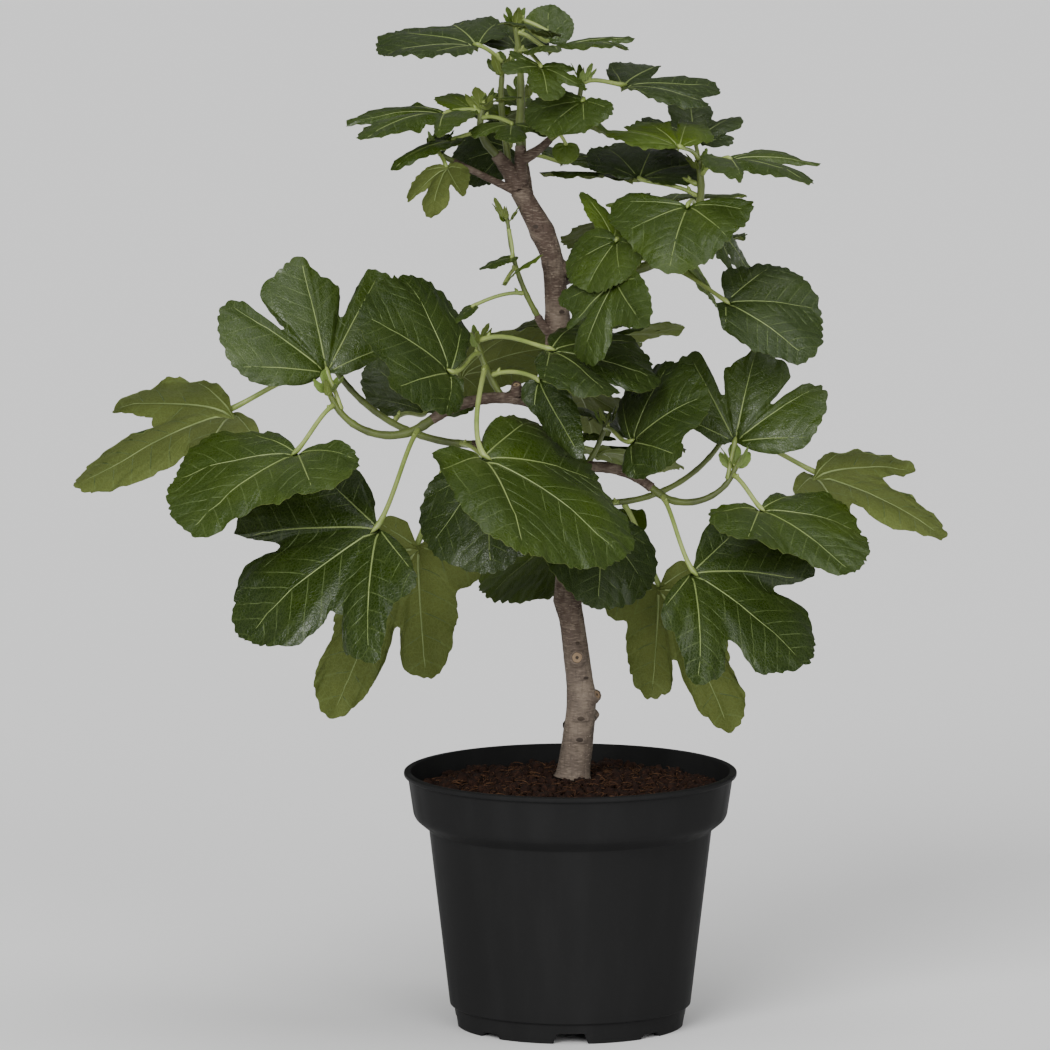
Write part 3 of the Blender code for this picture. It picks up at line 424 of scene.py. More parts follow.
def line_length(points: list[Vector]) -> float:
    """Length of a line of points."""
    return sum((end - start).length for start, end in zip(points, points[1:]))


def point_along(points: list[Vector], distance: float) -> Vector:
    """Point at a distance along a line of points.

    Args:
        points: Points of the line.
        distance: Distance from its start.

    Returns:
        The point, or the last one past the end.
    """
    for start, end in zip(points, points[1:]):
        reach = (end - start).length
        if distance <= reach:
            return start.lerp(end, distance / reach)
        distance -= reach
    return points[-1].copy()


def limb_line(limb: Limb, parent: list[Vector]) -> tuple[list[Vector], list[float]]:
    """Points and radii of a limb that turns evenly from its first way to its last.

    Args:
        limb: The limb.
        parent: The points of the limb it springs from.

    Returns:
        The points and their radii.
    """
    forward = (parent[-1] - parent[-2]).normalized()
    start = parent[-1] + forward * GAP if limb.at is None else point_along(parent, limb.at)
    count = max(3, round(limb.length / LIMB_STEP))
    points = [start]
    for step in range(count):
        t = step / (count - 1)
        if limb.at is not None or step > 0:
            heading = limb.heading + (limb.heading_end - limb.heading) * t
            forward = way(heading, limb.rise + (limb.rise_end - limb.rise) * t)
        points.append(points[-1] + forward * (limb.length / count))
    radii = [(limb.foot + (limb.tip - limb.foot) * i / count) / 2 for i in range(count + 1)]
    return points, radii


def mirrored_limb(limb: Limb) -> Limb:
    """Stem of the right cluster that answers to one of the left.

    Args:
        limb: The stem of the left cluster.

    Returns:
        The stem of the right one.
    """
    name, parent, at = MIRRORED[limb.name]
    return replace(
        limb, name=name, parent=parent, at=at, length=limb.length * MIRROR_SCALE,
        heading=180 - limb.heading, heading_end=180 - limb.heading_end,
        foot=limb.foot * MIRROR_SCALE, tip=limb.tip * MIRROR_SCALE,
    )


def mirrored_leaf(leaf: Leaf) -> Leaf:
    """Leaf of the right cluster that answers to one of the left.

    Args:
        leaf: The leaf of the left cluster.

    Returns:
        The leaf of the right one.
    """
    offset = (Vector(leaf.heel) - MIRROR_FROM) * MIRROR_SCALE
    heel = MIRROR_TO + Vector((-offset.x, offset.y, offset.z))
    return replace(
        leaf, stem=MIRRORED[leaf.stem][0], heel=tuple(heel), heading=180 - leaf.heading,
        roll=-leaf.roll, length=leaf.length * MIRROR_SCALE, hand=-leaf.hand,
    )


def margin(form: str, angle: float) -> float:
    """Reach of a leaf's outline at an angle from the tip, straight between its points.

    Args:
        form: Name of the outline.
        angle: Angle from the tip, in degrees.

    Returns:
        The reach, against the length.
    """
    outline = FORMS[form].outline
    points = (*outline, (360 + outline[0][0], outline[0][1]))
    angle = (angle - outline[0][0]) % 360 + outline[0][0]
    for (low, near), (high, far) in zip(points, points[1:]):
        if angle <= high:
            return near + (far - near) * (angle - low) / (high - low)
    return points[-1][1]


def blade_frame(leaf: Leaf) -> tuple[Vector, Vector, Vector]:
    """Ways along the midrib, across the blade and out of its upper side.

    Args:
        leaf: The leaf.

    Returns:
        The three unit vectors.
    """
    forward = way(leaf.heading, leaf.rise)
    level = Vector((-forward.y, forward.x, 0.0)).normalized()
    upward = forward.cross(level)
    turn = math.radians(leaf.roll)
    side = level * math.cos(turn) + upward * math.sin(turn)
    return forward, side, forward.cross(side)


def plane_lift(leaf: Leaf, angle: float, distance: float) -> float:
    """Fold and ripple of a blade off its plane, as a share of its length."""
    across = distance * math.sin(math.radians(angle))
    return FOLD * abs(across) + RIPPLE * distance * math.sin(math.radians(angle * 5) + leaf.heading)


def margin_point(leaf: Leaf, angle: float) -> Vector:
    """Place of the solid's margin at an angle of the outline.

    Args:
        leaf: The leaf.
        angle: Angle from the tip, in degrees.

    Returns:
        The place, in millimetres.
    """
    distance = margin(leaf.form, angle)
    turn = math.radians(angle * leaf.hand)
    forward, side, normal = blade_frame(leaf)
    lift = plane_lift(leaf, angle * leaf.hand, distance)
    place = forward * math.cos(turn) * distance + side * math.sin(turn) * distance + normal * lift
    return Vector(leaf.heel) + place * leaf.length


def spray_tries(spray: Spray, index: int, stem: list[Vector]) -> Iterator[Leaf]:
    """Seeded tries at one leaf of a spray, turned on from the last and kept in its space.

    Args:
        spray: The spray.
        index: Which of its leaves.
        stem: The points of its stem.

    Returns:
        The leaves to try, in order.
    """
    chance = random.Random("%s %d" % (spray.stem, index))
    along = (index + 0.7) / spray.count
    root = point_along(stem, along * line_length(stem))
    for _ in range(SPRAY_TRIES):
        heading = index * TURN_BETWEEN_LEAVES + chance.uniform(-40, 40)
        heel = root + way(heading, chance.uniform(-10, 45)) * chance.uniform(30, 60)
        heading += chance.uniform(-20, 20)
        rise = chance.uniform(-45, 10)
        roll = chance.uniform(-20, 20)
        length = spray.length * chance.uniform(0.8, 1.05)
        form = chance.choice(SPRAY_FORMS)
        leaf = Leaf(spray.stem, along, tuple(heel), heading, rise, roll, length, form, 1, False)
        rim = [margin_point(leaf, angle) for angle, _ in FORMS[form].outline]
        if all(low <= v <= high for p in rim for low, v, high in zip(spray.low, p, spray.high)):
            yield leaf


def petiole_line(leaf: Leaf, stem: list[Vector], steps: int) -> list[Vector]:
    """Points of a leaf stalk, from inside its stem to just past the heel.

    Args:
        leaf: The leaf.
        stem: Points of the stem.
        steps: Stretches to make.

    Returns:
        The points, from the stem to the heel.
    """
    root = point_along(stem, leaf.along * line_length(stem))
    heel = Vector(leaf.heel)
    forward = way(leaf.heading, leaf.rise)
    span = heel - root
    first = root + span * 0.35 + Vector((0, 0, 0.16 * span.length))
    last = heel - (forward + span.normalized()) * 0.14 * span.length
    points = []
    for step in range(steps + 1):
        t = step / steps
        points.append(
            root * (1 - t) ** 3 + first * 3 * t * (1 - t) ** 2
            + last * 3 * t * t * (1 - t) + heel * t ** 3
        )
    return points


# Mesh helpers


def mapped_grid(
    shell: bmesh.types.BMesh, across: int, along: int, place: Callable[[float, float], Vector]
) -> list[bmesh.types.BMVert]:
    """Add a grid and carry each of its points to a place.

    Args:
        shell: The mesh to add it to.
        across: Faces across the grid.
        along: Faces along it.
        place: Gives a place in millimetres from shares across and along, each 0 to 1.

    Returns:
        The grid's points.
    """
    made = bmesh.ops.create_grid(shell, x_segments=across, y_segments=along, size=0.5)
    for vert in made["verts"]:
        vert.co = place(vert.co.x + 0.5, vert.co.y + 0.5) * MM
    return made["verts"]


def turn_frames(points: list[Vector]) -> list[tuple[Vector, Vector]]:
    """Two ways square to a line at each of its points, with no twist from one to the next.

    Args:
        points: Points of the line.

    Returns:
        Two unit vectors for each point.
    """
    frames = []
    side = (points[1] - points[0]).orthogonal().normalized()
    for index, _ in enumerate(points):
        ahead = points[min(index + 1, len(points) - 1)] - points[max(index - 1, 0)]
        ahead.normalize()
        side = (side - ahead * side.dot(ahead)).normalized()
        frames.append((side, ahead.cross(side)))
    return frames


def tube(
    shell: bmesh.types.BMesh,
    points: list[Vector],
    radius: Callable[[float, Vector], float],
    sides: int,
) -> list[bmesh.types.BMVert]:
    """Add a closed tube along a line.

    Args:
        shell: The mesh to add it to.
        points: The line, in millimetres.
        radius: Gives a radius from a share along and the way outwards; both ends are closed.
        sides: Faces round the tube.

    Returns:
        The tube's points.
    """
    frames = turn_frames(points)
    rings = len(points) - 1

    def place(u: float, v: float) -> Vector:
        """Place on the tube's side.

        Args:
            u: Share round it.
            v: Share along it.

        Returns:
            The place, in millimetres.
        """
        index = min(round(v * rings), rings)
        angle = 2 * math.pi * (round(u * sides) % sides) / sides
        side, other = frames[index]
        out = side * math.cos(angle) + other * math.sin(angle)
        reach = 0.0 if index in (0, rings) else radius(v, out)
        return points[index] + out * reach

    return mapped_grid(shell, sides, rings, place)


def rounded_ends(points: list[Vector], reach: float) -> list[Vector]:
    """Add points near both ends of a line, so that a tube along it closes in a small dome.

    Args:
        points: Points of the line.
        reach: How far the dome reaches back.

    Returns:
        The points with one more near each end.
    """
    front = points[0].lerp(points[1], min(0.4, reach / max((points[1] - points[0]).length, 0.01)))
    back = points[-1].lerp(points[-2], min(0.4, reach / max((points[-1] - points[-2]).length, 0.01)))
    return [points[0], front, *points[1:-1], back, points[-1]]


def close(shell: bmesh.types.BMesh) -> None:
    """Join points that lie together and turn all faces outwards.

    Args:
        shell: The mesh.
    """
    bmesh.ops.remove_doubles(shell, verts=shell.verts, dist=0.004 * MM)
    bmesh.ops.dissolve_degenerate(shell, dist=0.002 * MM, edges=shell.edges)
    bmesh.ops.recalc_face_normals(shell, faces=shell.faces)


@contextmanager
def new_faces(shell: bmesh.types.BMesh, material: int) -> Iterator[None]:
    """Give one material to all faces that are added to a mesh within the block.

    Args:
        shell: The mesh.
        material: The material's place in the piece's list.

    Yields:
        Nothing, while the faces are added.
    """
    start = len(shell.faces)
    yield
    shell.faces.ensure_lookup_table()
    for face in shell.faces[start:]:
        face.material_index = material


def soft_step(value: float) -> float:
    """Smooth rise from 0 to 1 as a value goes from 0 to 1."""
    value = min(max(value, 0.0), 1.0)
    return value * value * (3 - 2 * value)


def hump(offset: float, width: float) -> float:
    """Bell-shaped rise of 1 at no offset."""
    return math.exp(-((offset / width) ** 2))


def piece(
    name: str,
    shell: bmesh.types.BMesh,
    materials: Iterable[bpy.types.Material],
    stands_for: Iterable[str] = (),
) -> bpy.types.Object:
    """Make a finished piece of the object from a mesh.

    Args:
        name: The piece's name.
        shell: The mesh, which is freed.
        materials: Its materials, in the order of their slots.
        stands_for: The nodes it replaces.

    Returns:
        The piece, riding on the root body.
    """
    mesh = bpy.data.meshes.new(name)
    shell.to_mesh(mesh)
    shell.free()
    mesh.shade_smooth()
    item = bpy.data.objects.new(name, mesh)
    bpy.context.scene.collection.objects.link(item)
    for material in materials:
        mesh.materials.append(material)
    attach(item, "root")
    names = list(stands_for)
    if names:
        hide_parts(*names)
    LOG.info("%s: %d faces", name, len(mesh.polygons))
    return item


# Finishes


class Nodes:
    """Short way to place and join the nodes of a tree."""

    def __init__(self, tree: bpy.types.NodeTree) -> None:
        """Start with an empty tree."""
        tree.nodes.clear()
        self.tree = tree

    def add(self, kind: str, inputs: dict | None = None, **settings: object) -> bpy.types.Node:
        """Place a node.

        Args:
            kind: Its type.
            inputs: Values, or sockets to join, by input name or number.
            settings: Its own properties.

        Returns:
            The node.
        """
        node = self.tree.nodes.new(kind)
        for name, value in settings.items():
            setattr(node, name, value)
        for name, value in (inputs or {}).items():
            if isinstance(value, bpy.types.NodeSocket):
                self.tree.links.new(value, node.inputs[name])
            else:
                node.inputs[name].default_value = value
        return node

    def math(self, operation: str, *values: object) -> bpy.types.NodeSocket:
        """Place a Math node and give its result."""
        return self.add("ShaderNodeMath", dict(enumerate(values)), operation=operation).outputs[0]

    def noise(self, place: bpy.types.NodeSocket, scale: object, detail: object) -> bpy.types.NodeSocket:
        """Place a noise pattern and give its value."""
        inputs = {"Vector": place, "Scale": scale, "Detail": detail}
        return self.add("ShaderNodeTexNoise", inputs).outputs["Fac"]

    def between(
        self, share: object, low: float, high: float, to_low: float = 0.0, to_high: float = 1.0
    ) -> bpy.types.NodeSocket:
        """Map a value's range to another, held at both ends."""
        inputs = {"Value": share, "From Min": low, "From Max": high, "To Min": to_low, "To Max": to_high}
        return self.add("ShaderNodeMapRange", inputs, interpolation_type="SMOOTHSTEP").outputs["Result"]

    def mottle(
        self, place: bpy.types.NodeSocket, scale: float, detail: float, low: float, high: float,
        to_low: float = 0.0, to_high: float = 1.0,
    ) -> bpy.types.NodeSocket:
        """Place the group of soft patches and give its mask.

        Args:
            place: Coordinates.
            scale: Scale of the noise.
            detail: Its detail.
            low: Level where the mask starts.
            high: Level where it is full.
            to_low: Mask at the start.
            to_high: Mask where it is full.

        Returns:
            The mask.
        """
        inputs = {
            "Place": place, "Scale": scale, "Detail": detail, "Low": low, "High": high,
            "To Low": to_low, "To High": to_high,
        }
        return self.add("ShaderNodeGroup", inputs, node_tree=mottle_group()).outputs["Mask"]

    def mix(self, share: object, first: object, second: object) -> bpy.types.NodeSocket:
        """Mix two colours.

        Args:
            share: Share of the second.
            first: First colour, plain or a socket.
            second: Second colour.

        Returns:
            The mixed colour.
        """
        node = self.add("ShaderNodeMix", data_type="RGBA")
        for index, value in ((0, share), (6, first), (7, second)):
            if isinstance(value, bpy.types.NodeSocket):
                self.tree.links.new(value, node.inputs[index])
            else:
                node.inputs[index].default_value = value if index == 0 else (*value, 1.0)
        return node.outputs[2]


def new_material(name: str) -> tuple[bpy.types.Material, Nodes, bpy.types.NodeSocket]:
    """Make an empty node material, and give its nodes and its object coordinates.

    Args:
        name: Its name.

    Returns:
        The material, its nodes and its object coordinates.
    """
    material = bpy.data.materials.new(name)
    material.use_nodes = True
    nodes = Nodes(material.node_tree)
    return material, nodes, nodes.add("ShaderNodeTexCoord").outputs["Object"]


def surface(
    nodes: Nodes, colour: object, rough: object, height: object, depth: float, **plain: float
) -> None:
    """Close a material with a Principled shader and a bump.

    Args:
        nodes: The material's nodes.
        colour: Base colour, plain or a socket.
        rough: Roughness, plain or a socket.
        height: Height socket of the bump.
        depth: What a height of 1 stands for, in metres.
        plain: Constants of the shader's own sockets, by name with _ for a space.
    """
    bump = nodes.add("ShaderNodeBump", {"Height": height, "Distance": depth, "Strength": 1.0})
    if not isinstance(colour, bpy.types.NodeSocket):
        colour = (*colour, 1.0)
    inputs = {"Base Color": colour, "Roughness": rough, "Normal": bump.outputs["Normal"]}
    for name, value in plain.items():
        inputs[name.replace("_", " ")] = value
    shader = nodes.add("ShaderNodeBsdfPrincipled", inputs)
    nodes.add("ShaderNodeOutputMaterial", {"Surface": shader.outputs["BSDF"]})


def mottle_group() -> bpy.types.NodeTree:
    """Node group of soft patches: a noise between two levels, mapped to a range.

    Returns:
        A group with inputs Place, Scale, Detail, Low, High, To Low, To High and output Mask.
    """
    found = bpy.data.node_groups.get("mottle")
    if found:
        return found
    tree = bpy.data.node_groups.new("mottle", "ShaderNodeTree")
    tree.interface.new_socket("Place", in_out="INPUT", socket_type="NodeSocketVector")
    for name in ("Scale", "Detail", "Low", "High", "To Low", "To High"):
        tree.interface.new_socket(name, in_out="INPUT", socket_type="NodeSocketFloat")
    tree.interface.new_socket("Mask", in_out="OUTPUT", socket_type="NodeSocketFloat")
    nodes = Nodes(tree)
    entry = nodes.add("NodeGroupInput").outputs
    patches = nodes.noise(entry["Place"], entry["Scale"], entry["Detail"])
    mask = nodes.between(patches, entry["Low"], entry["High"], entry["To Low"], entry["To High"])
    nodes.add("NodeGroupOutput", {"Mask": mask})
    return tree


def venation_group() -> bpy.types.NodeTree:
    """Node group of the side veins of a blade, from its vein coordinates.

    Returns:
        A group with outputs Line, Quilt and Net, each 0 to 1.
    """
    found = bpy.data.node_groups.get("venation")
    if found:
        return found
    tree = bpy.data.node_groups.new("venation", "ShaderNodeTree")
    tree.interface.new_socket("Place", in_out="INPUT", socket_type="NodeSocketVector")
    for name in ("Line", "Quilt", "Net"):
        tree.interface.new_socket(name, in_out="OUTPUT", socket_type="NodeSocketFloat")
    nodes = Nodes(tree)
    entry = nodes.add("NodeGroupInput").outputs["Place"]
    parts = nodes.add("ShaderNodeSeparateXYZ", {"Vector": entry})
    across = nodes.math("ABSOLUTE", parts.outputs["Y"])
    along = nodes.math("SUBTRACT", parts.outputs["X"], nodes.math("MULTIPLY", across, VEIN_SLANT))
    bend = nodes.math("MULTIPLY", nodes.math("MULTIPLY", across, across), VEIN_BEND)
    along = nodes.math("SUBTRACT", along, bend)
    off = nodes.math("PINGPONG", along, 0.5)
    line = nodes.between(off, 0.015, 0.07, 1.0, 0.0)
    rise = nodes.between(off, 0.0, 0.42)
    quilt = nodes.math("MULTIPLY", rise, nodes.between(across, 0.0, 0.5, 0.25, 1.0))
    cells = nodes.add(
        "ShaderNodeTexVoronoi", {"Vector": entry, "Scale": 5.5}, feature="DISTANCE_TO_EDGE"
    )
    net = nodes.between(cells.outputs["Distance"], 0.0, 0.16)
    nodes.add("NodeGroupOutput", {"Line": line, "Quilt": quilt, "Net": net})
    return tree


@dataclass(frozen=True)
class BladeFinish:
    """Surface of one side of the blades of one tone."""

    name: str
    colour: tuple[float, float, float]
    patch: tuple[float, float, float]
    line: tuple[float, float, float]
    rough: float
    under: bool = False
    cloud_scale: float = 22.0
    speck_scale: float = 900.0
    gloss_scale: float = 60.0
    grain_scale: float = 1500.0
    relief: float = 0.00022

    def material(self) -> bpy.types.Material:
        """Make the material.

        Returns:
            The material.
        """
        material, nodes, place = new_material(self.name)
        veins = nodes.add("ShaderNodeGroup", node_tree=venation_group())
        uv = nodes.add("ShaderNodeUVMap", uv_map="veins").outputs["UV"]
        nodes.tree.links.new(uv, veins.inputs["Place"])
        line, quilt, net = (veins.outputs[name] for name in ("Line", "Quilt", "Net"))
        clouds = nodes.mottle(place, self.cloud_scale, 4.0, 0.42, 0.68)
        base = nodes.mix(clouds, self.colour, self.patch)
        speckle = nodes.mottle(place, self.speck_scale, 2.0, 0.3, 0.75, 0.0, 0.35)
        base = nodes.mix(speckle, base, tuple(c * 0.55 for c in self.colour))
        cell = nodes.math("MULTIPLY", net, 0.25 if self.under else 0.12)
        base = nodes.mix(nodes.math("SUBTRACT", 0.25 if self.under else 0.12, cell), base, self.line)
        base = nodes.mix(nodes.math("MULTIPLY", line, 0.35 if self.under else 0.14), base, self.line)
        rough = nodes.mottle(
            place, self.gloss_scale, 3.0, 0.3, 0.7, self.rough - 0.07, self.rough + 0.09
        )
        sign = -1.0 if self.under else 1.0
        mesh = nodes.math("MULTIPLY", net, 0.6 * sign)
        relief = nodes.math("ADD", nodes.math("MULTIPLY", quilt, sign), mesh)
        grain = nodes.math("MULTIPLY", nodes.noise(place, self.grain_scale, 2.0), 0.06)
        surface(
            nodes, base, rough, nodes.math("ADD", relief, grain), self.relief,
            Specular_IOR_Level=0.18 if self.under else 0.34,
        )
        return material


@dataclass(frozen=True)
class SoftFinish:
    """Softly mottled surface of shoots, stalks, veins, buds and cut wood."""

    name: str
    colour: tuple[float, float, float]
    shade: tuple[float, float, float]
    rough: float
    patch_scale: float = 45.0
    speck_scale: float = 700.0
    grain_scale: float = 900.0
    relief: float = 0.00012

    def material(self) -> bpy.types.Material:
        """Make the material.

        Returns:
            The material.
        """
        material, nodes, place = new_material(self.name)
        share = nodes.mottle(place, self.patch_scale, 4.0, 0.35, 0.7)
        base = nodes.mix(share, self.colour, self.shade)
        specks = nodes.mottle(place, self.speck_scale, 2.0, 0.62, 0.75, 0.0, 0.4)
        base = nodes.mix(specks, base, tuple(min(1.0, c * 1.8) for c in self.colour))
        surface(nodes, base, self.rough, nodes.noise(place, self.grain_scale, 3.0), self.relief)
        return material


@dataclass(frozen=True)
class BarkFinish:
    """Surface of the trunk and boughs: grey-brown below, purplish brown above."""

    low: tuple[float, float, float] = (0.122, 0.094, 0.074)
    high: tuple[float, float, float] = (0.072, 0.048, 0.036)
    pale: tuple[float, float, float] = (0.250, 0.198, 0.150)
    crack: tuple[float, float, float] = (0.022, 0.016, 0.012)
    turn_low: float = 0.29
    turn_high: float = 0.36
    blotch_scale: float = 60.0
    band_scale: float = 190.0
    crack_scale: float = 420.0
    pore_scale: float = 150.0
    relief: float = 0.0011

    def material(self) -> bpy.types.Material:
        """Make the material.

        Returns:
            The material.
        """
        material, nodes, place = new_material("fig_bark")
        height = nodes.add("ShaderNodeSeparateXYZ", {"Vector": place}).outputs["Z"]
        base = nodes.mix(nodes.between(height, self.turn_low, self.turn_high), self.low, self.high)
        blotch = nodes.mottle(place, self.blotch_scale, 5.0, 0.45, 0.72, 0.0, 0.6)
        base = nodes.mix(blotch, base, self.pale)
        flat = nodes.add("ShaderNodeMapping", {"Vector": place, "Scale": (1.0, 1.0, 5.0)}).outputs[0]
        bands = nodes.noise(flat, self.band_scale, 5.0)
        base = nodes.mix(nodes.between(bands, 0.5, 0.72, 0.0, 0.6), base, self.pale)
        base = nodes.mix(nodes.between(bands, 0.26, 0.44, 0.45, 0.0), base, self.crack)
        tall = nodes.add("ShaderNodeMapping", {"Vector": place, "Scale": (1.0, 1.0, 0.12)}).outputs[0]
        cracks = nodes.noise(tall, self.crack_scale, 4.0)
        base = nodes.mix(nodes.between(cracks, 0.28, 0.42, 0.3, 0.0), base, self.crack)
        pores = nodes.add("ShaderNodeTexVoronoi", {"Vector": flat, "Scale": self.pore_scale})
        spots = nodes.between(pores.outputs["Distance"], 0.12, 0.22, 1.0, 0.0)
        base = nodes.mix(nodes.math("MULTIPLY", spots, 0.5), base, self.pale)
        relief = nodes.math("ADD", nodes.math("MULTIPLY", bands, 0.7), nodes.math("MULTIPLY", cracks, 0.6))
        relief = nodes.math("ADD", relief, nodes.math("MULTIPLY", spots, 0.25))
        rough = nodes.between(bands, 0.3, 0.7, 0.9, 0.68)
        surface(nodes, base, rough, relief, self.relief, Specular_IOR_Level=0.3)
        return material


@dataclass(frozen=True)
class PotFinish:
    """Surface of the pot: near-black moulded plastic with a faint satin mottle."""

    colour: tuple[float, float, float] = (0.0150, 0.0150, 0.0151)
    dusty: tuple[float, float, float] = (0.026, 0.025, 0.024)
    streak_scale: float = 40.0
    dust_scale: float = 320.0
    grain_scale: float = 1400.0
    relief: float = 0.00006

    def material(self) -> bpy.types.Material:
        """Make the material.

        Returns:
            The material.
        """
        material, nodes, place = new_material("pot_plastic")
        tall = nodes.add("ShaderNodeMapping", {"Vector": place, "Scale": (1.0, 1.0, 0.15)}).outputs[0]
        streaks = nodes.noise(tall, self.streak_scale, 5.0)
        base = nodes.mix(
            nodes.between(streaks, 0.4, 0.75, 0.0, 0.22), self.colour, tuple(c * 1.7 for c in self.colour)
        )
        dust = nodes.mottle(place, self.dust_scale, 5.0, 0.6, 0.8, 0.0, 0.22)
        base = nodes.mix(dust, base, self.dusty)
        rough = nodes.between(streaks, 0.3, 0.7, 0.42, 0.56)
        grain = nodes.noise(place, self.grain_scale, 2.0)
        grain = nodes.math("ADD", grain, nodes.math("MULTIPLY", streaks, 0.8))
        surface(nodes, base, rough, grain, self.relief, Specular_IOR_Level=0.02)
        return material


@dataclass(frozen=True)
class CompostFinish:
    """Surface of moist coir compost and of its fibres."""

    name: str
    colour: tuple[float, float, float]
    light: tuple[float, float, float]
    lump_scale: float = 260.0
    fine_scale: float = 1300.0
    relief: float = 0.0022

    def material(self) -> bpy.types.Material:
        """Make the material.

        Returns:
            The material.
        """
        material, nodes, place = new_material(self.name)
        lumps = nodes.noise(place, self.lump_scale, 6.0)
        base = nodes.mix(nodes.between(lumps, 0.4, 0.72), self.colour, self.light)
        fine = nodes.noise(place, self.fine_scale, 4.0)
        base = nodes.mix(nodes.between(fine, 0.3, 0.5, 0.7, 0.0), base, tuple(c * 0.25 for c in self.colour))
        relief = nodes.math("ADD", lumps, nodes.math("MULTIPLY", fine, 0.4))
        surface(nodes, base, 0.92, relief, self.relief, Specular_IOR_Level=0.25)
        return material


@dataclass(frozen=True)
class FloorFinish:
    """Plain pale floor."""

    colour: tuple[float, float, float] = (0.94, 0.94, 0.94)

    def material(self) -> bpy.types.Material:
        """Make the material.

        Returns:
            The material.
        """
        material, nodes, place = new_material("pale_floor")
        base = nodes.mix(nodes.noise(place, 3.0, 2.0), self.colour, tuple(c * 0.99 for c in self.colour))
        surface(nodes, base, 0.9, nodes.noise(place, 300.0, 2.0), 0.00002, Specular_IOR_Level=0.2)
        return material


# Pieces of the plant

VEIN_SLANT = 0.60
VEIN_BEND = 0.07
RIM_ANGLE = 55
TWIGLET_TRIES = 60
MAIN_VEIN, SIDE_VEIN = 0, 1
TONES = tuple(Tone)
UPPER = {
    Tone.DARK: ((0.0160, 0.0320, 0.0030), (0.0235, 0.0430, 0.0035)),
    Tone.MID: ((0.0265, 0.0490, 0.0042), (0.0385, 0.0665, 0.0050)),
    Tone.LIME: ((0.0520, 0.0900, 0.0045), (0.0780, 0.1250, 0.0055)),
    Tone.YOUNG: ((0.1500, 0.2300, 0.0400), (0.2100, 0.3000, 0.0620)),
}
# Underside colours: the paler real underside, raised further as painted fill light because the undersides
# face down and get less light.
UNDER_WITH_PAINTED_FILL = {
    Tone.DARK: ((0.0850, 0.1080, 0.0225), (0.1050, 0.1320, 0.0290)),
    Tone.MID: ((0.1050, 0.1330, 0.0285), (0.1300, 0.1600, 0.0370)),
    Tone.LIME: ((0.1350, 0.1780, 0.0360), (0.1700, 0.2150, 0.0450)),
    Tone.YOUNG: ((0.1900, 0.2700, 0.0700), (0.2300, 0.3200, 0.0900)),
}
VEIN_TINT = (0.150, 0.200, 0.060)


